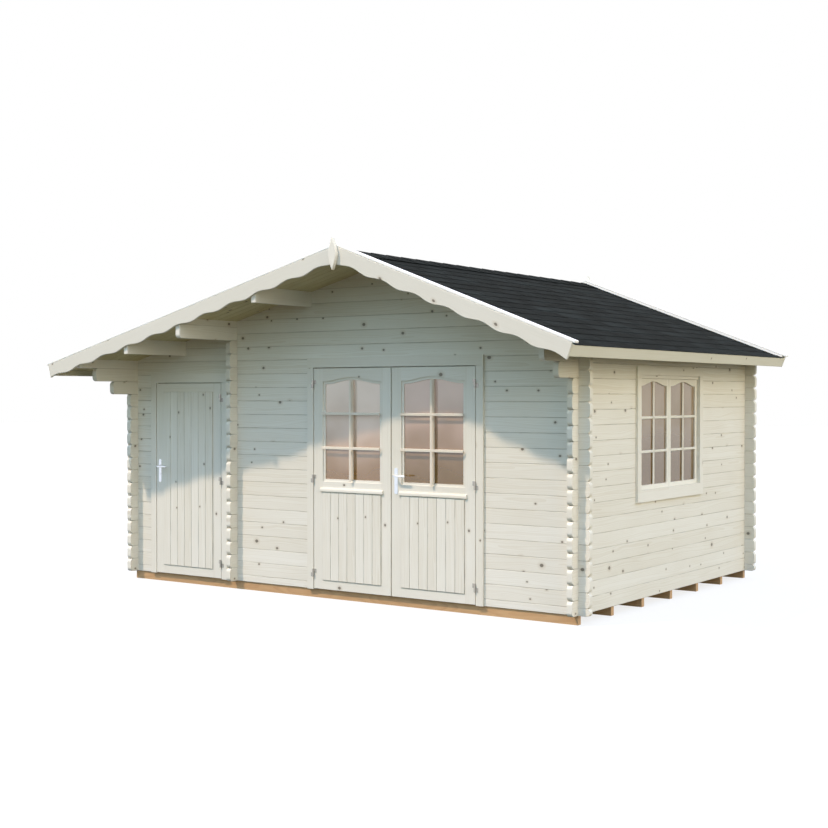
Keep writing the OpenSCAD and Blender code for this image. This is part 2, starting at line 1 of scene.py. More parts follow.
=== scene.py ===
"""Dresses the log cabin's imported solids: finishes, shingles, boards, glazing bars, handles, studio and camera."""
from __future__ import annotations

import json
import logging
import math
from collections.abc import Callable
from dataclasses import dataclass
from enum import Enum

import bpy
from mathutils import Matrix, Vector

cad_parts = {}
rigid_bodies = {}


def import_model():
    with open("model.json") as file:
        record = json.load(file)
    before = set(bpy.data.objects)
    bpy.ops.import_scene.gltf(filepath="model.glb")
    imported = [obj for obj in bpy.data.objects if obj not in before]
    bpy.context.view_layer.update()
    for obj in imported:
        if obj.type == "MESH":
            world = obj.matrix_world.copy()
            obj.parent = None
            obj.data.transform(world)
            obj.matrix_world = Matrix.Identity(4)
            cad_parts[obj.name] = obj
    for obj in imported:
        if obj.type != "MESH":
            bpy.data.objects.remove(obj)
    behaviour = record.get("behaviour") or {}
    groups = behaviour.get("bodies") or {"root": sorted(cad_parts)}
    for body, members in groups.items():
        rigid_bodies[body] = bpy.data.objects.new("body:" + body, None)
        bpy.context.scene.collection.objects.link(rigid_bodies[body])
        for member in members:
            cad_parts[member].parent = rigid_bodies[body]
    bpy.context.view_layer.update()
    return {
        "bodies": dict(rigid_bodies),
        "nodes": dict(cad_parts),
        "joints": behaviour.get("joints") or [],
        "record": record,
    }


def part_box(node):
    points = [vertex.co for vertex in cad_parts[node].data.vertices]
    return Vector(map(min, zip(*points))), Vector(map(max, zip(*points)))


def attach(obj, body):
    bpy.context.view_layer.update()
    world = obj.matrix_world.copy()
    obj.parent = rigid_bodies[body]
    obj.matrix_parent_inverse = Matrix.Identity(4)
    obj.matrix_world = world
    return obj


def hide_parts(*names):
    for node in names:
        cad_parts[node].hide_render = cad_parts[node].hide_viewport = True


Colour = tuple[float, float, float]
Point = tuple[float, float, float]
Span = tuple[float, float]
Piece = bpy.types.Object
Socket = bpy.types.NodeSocket
Place = tuple[Socket, Socket, Socket]
EdgeTest = Callable[[Vector, Vector], bool]

LOG = logging.getLogger("log_cabin")
CABIN = "cabin"
COURSE = 0.114
SEAM = 0.0003
RIGHT_PITCH = math.radians(20.9)
LEFT_PITCH = math.radians(14.75)
FINIAL_RISE = 0.115
ROUND_SIDES = 24
BEYOND = 9.0


def from_srgb(red: int, green: int, blue: int) -> Colour:
    """Turn an 8-bit screen colour into the linear colour that a shader takes.

    Args:
        red: Red, 0 to 255.
        green: Green, 0 to 255.
        blue: Blue, 0 to 255.

    Returns:
        The linear colour.
    """
    parts = [value / 255 for value in (red, green, blue)]
    line = [v / 12.92 if v <= 0.04045 else ((v + 0.055) / 1.055) ** 2.4 for v in parts]
    return line[0], line[1], line[2]


KNOT_HEART = from_srgb(80, 71, 58)
KNOT_HALO = from_srgb(172, 152, 120)
# Colour of the painted shade and dirt in the grooves at the joints between boards and logs.
JOINT_SHADE_AND_DIRT = from_srgb(120, 110, 92)
TREATED = (from_srgb(201, 163, 120), from_srgb(162, 120, 82))
# Roof boards' spruce, darkened and tinted olive as painted shade for their place under the eaves.
ROOF_BOARD_SHADED = (from_srgb(200, 193, 152), from_srgb(178, 166, 118))
BARGE = (from_srgb(221, 218, 208), from_srgb(204, 198, 182))
WHITE_TRIM = (from_srgb(250, 249, 246), from_srgb(242, 240, 233))
EAVE = (from_srgb(222, 219, 203), from_srgb(198, 190, 164))
GLAZING_BAR = (from_srgb(235, 226, 213), from_srgb(210, 198, 178))
WHITE = (1.0, 1.0, 1.0)
BLACK = (0.0, 0.0, 0.0)


class Lay(Enum):
    """How a board lies: the axes along its grain, across its face and through its thickness."""

    FRONT_LEVEL = ("X", "Z", "Y")
    SIDE_LEVEL = ("Y", "Z", "X")
    FRONT_UPRIGHT = ("Z", "X", "Y")
    SIDE_UPRIGHT = ("Z", "Y", "X")
    FLAT_ACROSS = ("X", "Y", "Z")
    FLAT_AWAY = ("Y", "X", "Z")


class NodeBench:
    """Adds nodes to a shader tree and joins them."""

    MIX_FACTOR, MIX_FIRST, MIX_SECOND, MIX_RESULT = 0, 6, 7, 2

    def __init__(self, tree: bpy.types.NodeTree) -> None:
        """Keep the tree that the nodes go into."""
        self.tree = tree

    def add(self, kind: str, **settings: object) -> bpy.types.Node:
        """Add a node and set its properties.

        Args:
            kind: The node's type name.
            settings: Properties of the node.

        Returns:
            The new node.
        """
        node = self.tree.nodes.new(kind)
        for name, value in settings.items():
            setattr(node, name, value)
        return node

    def feed(self, target: Socket, source: object) -> None:
        """Join a source to a socket, or write a plain value into it.

        Args:
            target: The socket.
            source: A socket to join to it, or a value.
        """
        if isinstance(source, Socket):
            self.tree.links.new(source, target)
        else:
            target.default_value = source

    def feed_all(self, node: bpy.types.Node, *sources: object) -> bpy.types.Node:
        """Feed a node's inputs in their order.

        Args:
            node: The node.
            sources: A socket or value for each input.

        Returns:
            The same node.
        """
        for socket, source in zip(node.inputs, sources):
            self.feed(socket, source)
        return node

    def sum(self, operation: str, first: object, second: object = 0.0, third: object = 0.0) -> Socket:
        """Add a Math node.

        Args:
            operation: The Math node's operation.
            first: First value or socket.
            second: Second value or socket.
            third: Third value or socket.

        Returns:
            The node's output.
        """
        node = self.add("ShaderNodeMath", operation=operation)
        return self.feed_all(node, first, second, third).outputs[0]

    def times(self, first: object, second: object) -> Socket:
        """Multiply two values."""
        return self.sum("MULTIPLY", first, second)

    def times_plus(self, first: object, second: object, third: object) -> Socket:
        """Multiply two values and add a third one."""
        return self.sum("MULTIPLY_ADD", first, second, third)

    def blend(self, factor: object, first: object, second: object) -> Socket:
        """Mix two colours.

        Args:
            factor: Share of the second colour.
            first: First colour or socket.
            second: Second colour or socket.

        Returns:
            The mixed colour.
        """
        node = self.add("ShaderNodeMix", data_type="RGBA", blend_type="MIX")
        self.feed(node.inputs[self.MIX_FACTOR], factor)
        self.feed(node.inputs[self.MIX_FIRST], self.padded(first))
        self.feed(node.inputs[self.MIX_SECOND], self.padded(second))
        return node.outputs[self.MIX_RESULT]

    @staticmethod
    def padded(source: object) -> object:
        """Give a plain colour its alpha."""
        return (*source, 1.0) if isinstance(source, tuple) and len(source) == 3 else source

    def spread(self, value: object, low: float, high: float, to_low: float = 0.0, to_high: float = 1.0) -> Socket:
        """Map a value smoothly from one range to another.

        Args:
            value: Value or socket.
            low: Start of the range.
            high: End of the range.
            to_low: Result at the start.
            to_high: Result at the end.

        Returns:
            The mapped value.
        """
        node = self.add("ShaderNodeMapRange", interpolation_type="SMOOTHSTEP")
        return self.feed_all(node, value, low, high, to_low, to_high).outputs[0]

    def between(self, share: object, first: object, second: object) -> Socket:
        """Go from a first value to a second one by a share."""
        return self.times_plus(share, self.sum("SUBTRACT", second, first), first)

    def spot(self) -> Socket:
        """Where a point lies on its piece."""
        return self.add("ShaderNodeTexCoord").outputs["Object"]

    def turned(self, vector: Socket, angle: float) -> Socket:
        """Turn a vector about Y.

        Args:
            vector: The vector.
            angle: Angle in radians.

        Returns:
            The turned vector.
        """
        node = self.add("ShaderNodeMapping", vector_type="POINT")
        node.inputs["Rotation"].default_value = (0.0, angle, 0.0)
        self.feed(node.inputs["Vector"], vector)
        return node.outputs[0]

    def split(self, vector: Socket) -> bpy.types.NodeOutputs:
        """Take a vector apart into X, Y and Z."""
        return self.feed_all(self.add("ShaderNodeSeparateXYZ"), vector).outputs

    def join(self, x: object, y: object, z: object = 0.0) -> Socket:
        """Combine three values into a vector."""
        return self.feed_all(self.add("ShaderNodeCombineXYZ"), x, y, z).outputs[0]

    def noise(self, vector: Socket, scale: float, detail: float = 2.0, rough: float = 0.5) -> Socket:
        """Add a noise texture.

        Args:
            vector: Where it is read.
            scale: Its scale.
            detail: Number of finer layers.
            rough: Strength of the finer layers.

        Returns:
            Its value.
        """
        node = self.add("ShaderNodeTexNoise")
        self.feed(node.inputs["Vector"], vector)
        for name, value in (("Scale", scale), ("Detail", detail), ("Roughness", rough)):
            node.inputs[name].default_value = value
        return node.outputs[0]

    def stretched(self, place: tuple[Socket, ...], scales: tuple[float, ...], detail: float = 2.0,
                  rough: float = 0.5) -> Socket:
        """Add a noise texture with its own scale on each axis.

        Args:
            place: Where it is read, axis by axis.
            scales: Its scale on each axis.
            detail: Number of finer layers.
            rough: Strength of the finer layers.

        Returns:
            Its value.
        """
        parts = [self.times(value, scale) for value, scale in zip(place, scales)]
        return self.noise(self.join(*parts), 1.0, detail, rough)

    def dice(self, value: object) -> Socket:
        """Draw a random number from 0 to 1 for each whole number.

        Args:
            value: The whole number.

        Returns:
            The random number.
        """
        node = self.add("ShaderNodeTexWhiteNoise", noise_dimensions="1D")
        self.feed(node.inputs["W"], value)
        return node.outputs["Value"]

    def relief(self, height: Socket, strength: float, depth: float) -> Socket:
        """Turn a height into a bumped normal.

        Args:
            height: The height.
            strength: Strength of the bump.
            depth: Depth of the bump.

        Returns:
            The normal.
        """
        node = self.add("ShaderNodeBump")
        node.inputs["Strength"].default_value = strength
        node.inputs["Distance"].default_value = depth
        self.feed(node.inputs["Height"], height)
        return node.outputs[0]


class GrainGroup:
    """Shader group for spruce: boards, growth rings, fine streaks and knots."""

    NAME = "spruce_grain"
    INPUTS = ("Along", "Across", "Depth", "Board Width", "Board Start", "Knot Share")
    OUTPUTS = ("Shade", "Knot", "Halo", "Joint", "Height")
    BOARD_SHIFT = 7.3
    OTHER_DRAW = 61.0
    STREAK_SCALES = (3.0, 210.0, 210.0)
    WAVE_SCALES = (1.6, 12.0, 12.0)
    FADE_SCALES = (5.0, 3.7)
    # Width of the band of painted shade and dirt at a joint.
    JOINT_SHADE_BAND = (0.0012, 0.0036)
    RING_WIDTH, RING_SPREAD = 0.005, 0.003
    PITH_DEPTH, PITH_SPREAD = 0.02, 0.05
    KNOT_CELLS = 5.2
    KNOT_SIZE, KNOT_SPREAD = 0.04, 0.05

    @classmethod
    def tree(cls) -> bpy.types.NodeTree:
        """Build the group once and return it afterwards."""
        known = bpy.data.node_groups.get(cls.NAME)
        return known if known else cls.build()

    @classmethod
    def build(cls) -> bpy.types.NodeTree:
        """Make the group's sockets and nodes.

        Returns:
            The group, which gives a shade, the knots, the halos round them, a mask of painted shade and dirt at the
            joints and a height.
        """
        tree = bpy.data.node_groups.new(cls.NAME, "ShaderNodeTree")
        for names, way in ((cls.INPUTS, "INPUT"), (cls.OUTPUTS, "OUTPUT")):
            for name in names:
                tree.interface.new_socket(name=name, in_out=way, socket_type="NodeSocketFloat")
        bench = NodeBench(tree)
        given = bench.add("NodeGroupInput").outputs
        width = given["Board Width"]
        across = bench.sum("SUBTRACT", given["Across"], given["Board Start"])
        boards = bench.sum("DIVIDE", across, width)
        board = bench.sum("FLOOR", boards)
        luck = bench.dice(board)
        other = bench.dice(bench.sum("ADD", board, cls.OTHER_DRAW))
        along = bench.times_plus(luck, cls.BOARD_SHIFT, given["Along"])
        place = (along, across, given["Depth"])
        spot = bench.join(*place)
        rings = cls.rings(bench, spot, place, (board, luck, other), width)
        streaks = bench.stretched(place, cls.STREAK_SCALES, 2.0, 0.6)
        patches = bench.noise(spot, 0.9)
        heart, halo = cls.knots(bench, spot, place, luck, given["Knot Share"])
        shade = bench.times_plus(rings, 0.24, bench.times(bench.spread(streaks, 0.45, 0.8), 0.22))
        shade = bench.times_plus(luck, 0.2, shade)
        shade = bench.sum("ADD", shade, bench.times_plus(patches, 0.6, -0.3))
        # Mask of painted shade and dirt in the grooves at the board joints, broken up along the boards.
        rest = bench.sum("FRACT", boards)
        rest = bench.sum("MINIMUM", rest, bench.sum("SUBTRACT", 1.0, rest))
        joint = bench.spread(bench.times(rest, width), *cls.JOINT_SHADE_BAND, 1.0, 0.0)
        fade = bench.stretched((along, board), cls.FADE_SCALES, 1.0)
        joint = bench.times(joint, bench.spread(fade, 0.3, 0.65, 0.25, 1.0))
        height = bench.times_plus(streaks, -0.6, bench.times(heart, -0.5))
        bench.feed_all(bench.add("NodeGroupOutput"), shade, heart, halo, joint, height)
        return tree

    @classmethod
    def rings(cls, bench: NodeBench, spot: Socket, place: Place, draws: Place, width: Socket) -> Socket:
        """Growth rings round a pith that wanders along each board.

        Args:
            bench: The group's bench.
            spot: Place in the board as a vector.
            place: Place along, across and behind the face.
            draws: Number of the board and its two random values.
            width: Width of a board.

        Returns:
            1 in the dark late wood of a ring, 0 in its early wood.
        """
        across, depth = place[1:]
        board, luck, other = draws
        middle = bench.times(bench.sum("ADD", board, 0.5), width)
        sway = bench.times_plus(bench.noise(spot, 1.1, 1.0), 0.1, -0.05)
        aside = bench.sum("ADD", bench.sum("SUBTRACT", across, middle), sway)
        aside = bench.sum("ADD", aside, bench.times_plus(other, 0.05, -0.025))
        behind = bench.sum("SUBTRACT", depth, bench.times_plus(luck, cls.PITH_SPREAD, cls.PITH_DEPTH))
        radius = bench.sum("SQRT", bench.times_plus(aside, aside, bench.times(behind, behind)))
        radius = bench.times_plus(bench.stretched(place, cls.WAVE_SCALES), 0.012, radius)
        turns = bench.sum("DIVIDE", radius, bench.times_plus(other, cls.RING_SPREAD, cls.RING_WIDTH))
        return bench.spread(bench.sum("FRACT", turns), 0.3, 0.95)

    @classmethod
    def knots(cls, bench: NodeBench, spot: Socket, place: Place, luck: Socket,
              share: Socket) -> tuple[Socket, Socket]:
        """Knots strewn over the boards, each of its own size.

        Args:
            bench: The group's bench.
            spot: Place in the board as a vector.
            place: Place along, across and behind the face.
            luck: Random value of the board.
            share: Share of the places that hold a knot.

        Returns:
            The knots' dark hearts and the brown halos round them.
        """
        along, across = place[:2]
        cells = bench.add("ShaderNodeTexVoronoi", voronoi_dimensions="2D", feature="F1")
        bench.feed(cells.inputs["Vector"], bench.join(bench.times(along, 0.8), bench.times_plus(luck, 0.31, across)))
        cells.inputs["Scale"].default_value = cls.KNOT_CELLS
        draws = bench.feed_all(bench.add("ShaderNodeSeparateColor"), cells.outputs["Color"]).outputs
        chosen = bench.sum("LESS_THAN", draws[0], share)
        size = bench.times_plus(bench.sum("POWER", draws[1], 2.0), cls.KNOT_SPREAD, cls.KNOT_SIZE)
        wobble = bench.times_plus(bench.noise(spot, 70.0, 1.0), 0.02, -0.01)
        near = bench.sum("DIVIDE", bench.sum("ADD", cells.outputs["Distance"], wobble), size)
        heart = bench.times(chosen, bench.spread(near, 0.6, 1.0, 1.0, 0.0))
        halo = bench.times(chosen, bench.spread(near, 0.9, 2.4, 1.0, 0.0))
        return heart, halo


class Finish:
    """What every finish can do: make its material once and put it on a piece."""

    name: str

    def paint(self, bench: NodeBench, shader: bpy.types.Node) -> None:
        """Add the finish's nodes to a new material."""
        raise NotImplementedError

    def material(self) -> bpy.types.Material:
        """Make the material, or return it if it is there already.

        Returns:
            The finish's material.
        """
        known = bpy.data.materials.get(self.name)
        if known:
            return known
        made = bpy.data.materials.new(self.name)
        made.use_nodes = True
        self.paint(NodeBench(made.node_tree), made.node_tree.nodes["Principled BSDF"])
        return made

    def dress(self, *objects: Piece) -> None:
        """Put the material on pieces, in place of what they had.

        Args:
            objects: The pieces.
        """
        for obj in objects:
            obj.data.materials.clear()
            obj.data.materials.append(self.material())


@dataclass(frozen=True)
class Spruce(Finish):
    """Pale stained spruce with its grain along one axis.

    Args:
        name: The material's name.
        lay: How the boards lie.
        face: Where the boards' outer face lies, on the axis through their thickness.
        light: Colour of the early wood.
        dark: Colour of the growth rings.
        board: Width of a board across the grain.
        start: Where a board begins across the grain.
        pitch: Slope of the boards, as a turn about Y.
        knots: Share of the places that hold a knot.
        relief: Strength of the grain's relief.
        joint: Strength of the painted shade and dirt in the grooves at the joints between the boards.
        level: Axis and spans where the grain lies across the rest, as in a door's rails.
        ridge: X of the ridge where the grain runs down both slopes from it.
        depth: Depth of the grain's relief.
        heart_share: How much a knot's heart hides the wood.
        halo_share: How much a knot's halo hides the wood.
        rough: Roughness of early wood and of growth rings.
    """

    name: str
    lay: Lay
    face: float = 0.0
    light: Colour = from_srgb(233, 230, 221)
    dark: Colour = from_srgb(206, 197, 177)
    board: float = COURSE
    start: float = 0.0
    pitch: float = 0.0
    knots: float = 0.55
    relief: float = 0.25
    joint: float = 0.0
    level: tuple[str, tuple[Span, ...]] | None = None
    ridge: float | None = None
    depth: float = 0.002
    heart_share: float = 0.8
    halo_share: float = 0.25
    rough: Span = (0.55, 0.7)

    def paint(self, bench: NodeBench, shader: bpy.types.Node) -> None:
        """Lay the grain group over the base colour, with knots, painted shade and dirt at the joints and a fine relief.

        Args:
            bench: The material's bench.
            shader: The material's shader.
        """
        group = bench.add("ShaderNodeGroup")
        group.node_tree = GrainGroup.tree()
        grain = bench.feed_all(group, *self.place(bench), self.board, self.start, self.knots).outputs
        wood = bench.blend(grain["Shade"], self.light, self.dark)
        ringed = bench.blend(bench.times(grain["Halo"], self.halo_share), wood, KNOT_HALO)
        knotted = bench.blend(bench.times(grain["Knot"], self.heart_share), ringed, KNOT_HEART)
        # Painted shade and dirt in the joints' grooves.
        with_joint_shade_and_dirt = bench.blend(bench.times(grain["Joint"], self.joint), knotted, JOINT_SHADE_AND_DIRT)
        bench.feed(shader.inputs["Base Color"], with_joint_shade_and_dirt)
        bench.feed(shader.inputs["Roughness"], bench.spread(grain["Shade"], 0.0, 1.0, *self.rough))
        bench.feed(shader.inputs["Normal"], bench.relief(grain["Height"], self.relief, self.depth))

    def place(self, bench: NodeBench) -> Place:
        """Where a point lies in the boards.

        Args:
            bench: The material's bench.

        Returns:
            The place along the grain, across it and behind the face.
        """
        spot = bench.spot()
        if self.pitch:
            spot = bench.turned(spot, -self.pitch)
        axes = bench.split(spot)
        along, across, depth = (axes[axis] for axis in self.lay.value)
        if self.ridge is not None:
            out = bench.sum("SUBTRACT", axes["X"], self.ridge)
            right = bench.times(bench.sum("MAXIMUM", out, 0.0), math.tan(RIGHT_PITCH))
            left = bench.times(bench.sum("MINIMUM", out, 0.0), -math.tan(LEFT_PITCH))
            across = bench.sum("ADD", across, bench.sum("ADD", right, left))
        if self.level:
            axis, spans = self.level
            inside = 0.0
            for low, high in spans:
                past_low = bench.sum("GREATER_THAN", axes[axis], low)
                before_high = bench.sum("LESS_THAN", axes[axis], high)
                inside = bench.sum("MAXIMUM", inside, bench.times(past_low, before_high))
            along, across = bench.between(inside, along, across), bench.between(inside, across, along)
        return along, across, bench.sum("ABSOLUTE", bench.sum("SUBTRACT", depth, self.face))


@dataclass(frozen=True)
class Shingle(Finish):
    """Mineral-faced bitumen, toned a little differently on each tab.

    Args:
        name: The material's name.
        pitch: Slope, as a turn about Y.
        ridge: Ridge line's x and z.
        side: 1 on the right slope, -1 on the left.
        course: Height of a course along the slope.
        tab: Width of a tab.
        light: Colour of the palest granules.
        dark: Colour of the darkest granules.
        cloud_scales: Scale of the clouds down the slope and along the ridge.
        grain: Scale of the granules.
        gloss: How much the granules shine.
    """

    name: str
    pitch: float
    ridge: Span
    side: int
    course: float
    tab: float
    light: Colour = from_srgb(34, 40, 41)
    dark: Colour = from_srgb(18, 22, 23)
    cloud_scales: Span = (9.0, 2.6)
    grain: float = 900.0
    gloss: float = 0.06

    def paint(self, bench: NodeBench, shader: bpy.types.Node) -> None:
        """Tone each tab and strew fine granules over it.

        Args:
            bench: The material's bench.
            shader: The material's shader.
        """
        spot = bench.spot()
        shift = bench.add("ShaderNodeVectorMath", operation="SUBTRACT")
        from_ridge = bench.feed_all(shift, spot, (self.ridge[0], 0.0, self.ridge[1])).outputs[0]
        axes = bench.split(bench.turned(from_ridge, -self.side * self.pitch))
        down = bench.times(axes["X"], float(self.side))
        row = bench.sum("FLOOR", bench.sum("DIVIDE", down, self.course))
        odd = bench.times(bench.sum("MODULO", row, 2.0), 0.5)
        tab = bench.sum("FLOOR", bench.sum("ADD", bench.sum("DIVIDE", axes["Y"], self.tab), odd))
        luck = bench.dice(bench.times_plus(row, 37.0, tab))
        clouds = bench.stretched((down, axes["Y"]), self.cloud_scales, 3.0)
        grit = bench.noise(spot, self.grain, 1.0)
        cloudy = bench.times(bench.spread(clouds, 0.42, 0.72), 0.5)
        tone = bench.times_plus(bench.sum("POWER", luck, 3.0), 0.5, cloudy)
        tone = bench.sum("ADD", tone, bench.times_plus(grit, 0.5, -0.25))
        bench.feed(shader.inputs["Base Color"], bench.blend(tone, self.dark, self.light))
        bench.feed(shader.inputs["Roughness"], bench.spread(grit, 0.3, 0.7, 0.8, 0.95))
        shader.inputs["Specular IOR Level"].default_value = self.gloss
        bench.feed(shader.inputs["Normal"], bench.relief(grit, 0.5, 0.001))


@dataclass(frozen=True)
class PaneWithPaintedReflection(Finish):
    """Window glass before a dim room, with a painted reflection of pale sky at its head that turns to brown ground
    towards its foot.

    Args:
        name: The material's name.
        reach: Heights of the foot and head of the glass.
        head: Colour at the head, a painted reflection of pale sky.
        foot: Colour at the foot, a painted reflection of brown ground.
        index: Refractive index, which sets how strongly the glass mirrors the studio.
        cover: How much the painted reflection hides what is behind.
    """

    name: str
    reach: Span
    head: Colour
    foot: Colour
    index: float = 2.2
    cover: float = 0.84

    def paint(self, bench: NodeBench, shader: bpy.types.Node) -> None:
        """Paint a reflection on the glass, from brown ground at the foot to pale sky at the head, let the room show
        through it and make it slightly uneven.

        Args:
            bench: The material's bench.
            shader: The material's shader.
        """
        spot = bench.spot()
        haze = bench.noise(spot, 2.4)
        height = bench.sum("ADD", bench.split(spot)["Z"], bench.times_plus(haze, 0.5, -0.25))
        rise = bench.spread(height, *self.reach)
        # Painted reflection: brown ground at the foot rising to pale sky at the head, blurred by the haze.
        bench.feed(shader.inputs["Base Color"], bench.blend(rise, self.foot, self.head))
        bench.feed(shader.inputs["Roughness"], bench.spread(haze, 0.3, 0.7, 0.03, 0.08))
        shader.inputs["Alpha"].default_value = self.cover
        shader.inputs["IOR"].default_value = self.index


@dataclass(frozen=True)
class Steel(Finish):
    """Dull zinc-coated steel with fine brushing.

    Args:
        name: The material's name.
        tone: Colour of the metal.
        worn: Colour of the brushed lines.
        rough: Least and greatest roughness.
        brush: Scale of the brushed lines on each axis.
    """

    name: str
    tone: Colour
    worn: Colour
    rough: Span
    brush: Point = (900.0, 900.0, 40.0)

    def paint(self, bench: NodeBench, shader: bpy.types.Node) -> None:
        """Brush the metal along the height and cloud it a little.

        Args:
            bench: The material's bench.
            shader: The material's shader.
        """
        spot = bench.spot()
        lines = bench.stretched(tuple(bench.split(spot)), self.brush)
        clouds = bench.noise(spot, 160.0)
        tone = bench.times_plus(lines, 0.5, bench.times(clouds, 0.5))
        bench.feed(shader.inputs["Base Color"], bench.blend(tone, self.tone, self.worn))
        bench.feed(shader.inputs["Roughness"], bench.spread(tone, 0.2, 0.8, *self.rough))
        shader.inputs["Metallic"].default_value = 1.0


class Choice(Enum):
    """What is chosen on a mesh."""

    EDGES = "EDGE"
    FACES = "FACE"


class Bench:
    """Modelling by operators, as at a workbench."""

    @staticmethod
    def clear() -> None:
        """Leave edit mode and select nothing."""
        if bpy.context.object and bpy.context.object.mode != "OBJECT":
            bpy.ops.object.mode_set(mode="OBJECT")
        bpy.ops.object.select_all(action="DESELECT")

    @staticmethod
    def pick(*objects: Piece) -> None:
        """Select these objects and make the first one active.

        Args:
            objects: The objects.
        """
        Bench.clear()
        for obj in objects:
            obj.select_set(True)
        bpy.context.view_layer.objects.active = objects[0]

    @staticmethod
    def named(name: str) -> Piece:
        """Give the active piece and its mesh a name.

        Args:
            name: The name.

        Returns:
            The piece.
        """
        obj = bpy.context.object
        obj.name = obj.data.name = name
        return obj

    @staticmethod
    def settle() -> None:
        """Put the active piece's place, turn and size into its mesh."""
        bpy.ops.object.transform_apply(location=True, rotation=True, scale=True)

    @staticmethod
    def open_whole(obj: Piece) -> None:
        """Enter edit mode with the whole piece selected.

        Args:
            obj: The piece.
        """
        Bench.pick(obj)
        bpy.ops.object.mode_set(mode="EDIT")
        bpy.ops.mesh.select_all(action="SELECT")

    @staticmethod
    def unselect(obj: Piece, choice: Choice) -> None:
        """Pick a piece with none of its edges or faces selected, ready for choosing some.

        Args:
            obj: The piece.
            choice: What will be chosen.
        """
        Bench.pick(obj)
        bpy.ops.object.mode_set(mode="EDIT")
        bpy.ops.mesh.select_mode(type=choice.value)
        bpy.ops.mesh.select_all(action="DESELECT")
        bpy.ops.object.mode_set(mode="OBJECT")

    @staticmethod
    def block(name: str, low: Point, high: Point) -> Piece:
        """Add a block between two corners.

        Args:
            name: Name of the piece.
            low: Lowest corner.
            high: Highest corner.

        Returns:
            The block, with its place in its mesh.
        """
        Bench.clear()
        middle = [(a + b) / 2 for a, b in zip(low, high)]
        bpy.ops.mesh.primitive_cube_add(size=1.0, location=middle)
        obj = Bench.named(name)
        obj.scale = [b - a for a, b in zip(low, high)]
        Bench.settle()
        return obj

    @staticmethod
    def edges(obj: Piece, wanted: EdgeTest) -> None:
        """Select the edges for whose two ends wanted is true, and enter edit mode.

        Args:
            obj: The piece.
            wanted: Test of the two end points.
        """
        Bench.unselect(obj, Choice.EDGES)
        spots = obj.data.vertices
        for edge in obj.data.edges:
            edge.select = wanted(spots[edge.vertices[0]].co, spots[edge.vertices[1]].co)
        bpy.ops.object.mode_set(mode="EDIT")

    @staticmethod
    def soften(obj: Piece, width: float, wanted: EdgeTest, steps: int = 1) -> Piece:
        """Bevel chosen edges.

        Args:
            obj: The piece.
            width: Width of the bevel.
            wanted: Test of an edge's two end points.
            steps: Number of segments.

        Returns:
            The same piece.
        """
        Bench.edges(obj, wanted)
        bpy.ops.mesh.bevel(offset=width, offset_type="OFFSET", segments=steps, affect="EDGES")
        bpy.ops.object.mode_set(mode="OBJECT")
        return obj

    @staticmethod
    def lift(obj: Piece, rise: float, wanted: EdgeTest) -> Piece:
        """Raise chosen edges.

        Args:
            obj: The piece.
            rise: How far they rise.
            wanted: Test of an edge's two end points.

        Returns:
            The same piece.
        """
        Bench.edges(obj, wanted)
        bpy.ops.transform.translate(value=(0.0, 0.0, rise))
        bpy.ops.object.mode_set(mode="OBJECT")
        return obj

    @staticmethod
    def rod(name: str, middle: Point, radius: float, length: float) -> Piece:
        """Add a rod along Y.

        Args:
            name: Name of the piece.
            middle: Its middle.
            radius: Its radius.
            length: Its length.

        Returns:
            The rod, with its place in its mesh.
        """
        Bench.clear()
        bpy.ops.mesh.primitive_cylinder_add(vertices=ROUND_SIDES, radius=radius, depth=length, location=middle,
                                            rotation=(math.pi / 2, 0.0, 0.0))
        Bench.settle()
        return Bench.named(name)

    @staticmethod
    def sink(obj: Piece, front: float, margin: float, depth: float, narrow: float) -> Piece:
        """Sink a recess into a rod's front face.

        Args:
            obj: The rod.
            front: Y of the face.
            margin: Width of the rim that stays.
            depth: Depth of the recess.
            narrow: Share of its width that the recess keeps.

        Returns:
            The same rod.
        """
        Bench.unselect(obj, Choice.FACES)
        for face in obj.data.polygons:
            face.select = close_to(face.center.y, front, 1e-5) and face.normal.y < -0.9
        bpy.ops.object.mode_set(mode="EDIT")
        bpy.ops.mesh.inset(thickness=margin, depth=0.0)
        bpy.ops.transform.resize(value=(narrow, 1.0, 1.0))
        bpy.ops.mesh.extrude_region_move(TRANSFORM_OT_translate={"value": (0.0, depth, 0.0)})
        bpy.ops.object.mode_set(mode="OBJECT")
        return obj

    @staticmethod
    def reflect(obj: Piece, name: str, middle: float) -> Piece:
        """Copy a piece to the other side of a plane across Y.

        Args:
            obj: The piece.
            name: Name of the copy.
            middle: Y of the plane.

        Returns:
            The copy, with its faces outwards.
        """
        copy = Bench.twin(obj, name, (0.0, 0.0, 0.0))
        copy.scale = (1.0, -1.0, 1.0)
        copy.location = (0.0, 2 * middle, 0.0)
        Bench.settle()
        return Bench.close(copy)

    @staticmethod
    def close(obj: Piece) -> Piece:
        """Merge doubled points and turn all faces outwards.

        Args:
            obj: The piece.

        Returns:
            The same piece.
        """
        Bench.open_whole(obj)
        bpy.ops.mesh.remove_doubles(threshold=1e-6)
        bpy.ops.mesh.normals_make_consistent(inside=False)
        bpy.ops.object.mode_set(mode="OBJECT")
        return obj

    @staticmethod
    def slice(obj: Piece, at: Point, normal: Point) -> Piece:
        """Cut away what lies on the normal's side of a plane and close the cut.

        Args:
            obj: The piece.
            at: A point on the plane.
            normal: Direction of what is cut away.

        Returns:
            The same piece.
        """
        Bench.open_whole(obj)
        bpy.ops.mesh.bisect(plane_co=at, plane_no=normal, use_fill=True, clear_outer=True)
        bpy.ops.object.mode_set(mode="OBJECT")
        return obj

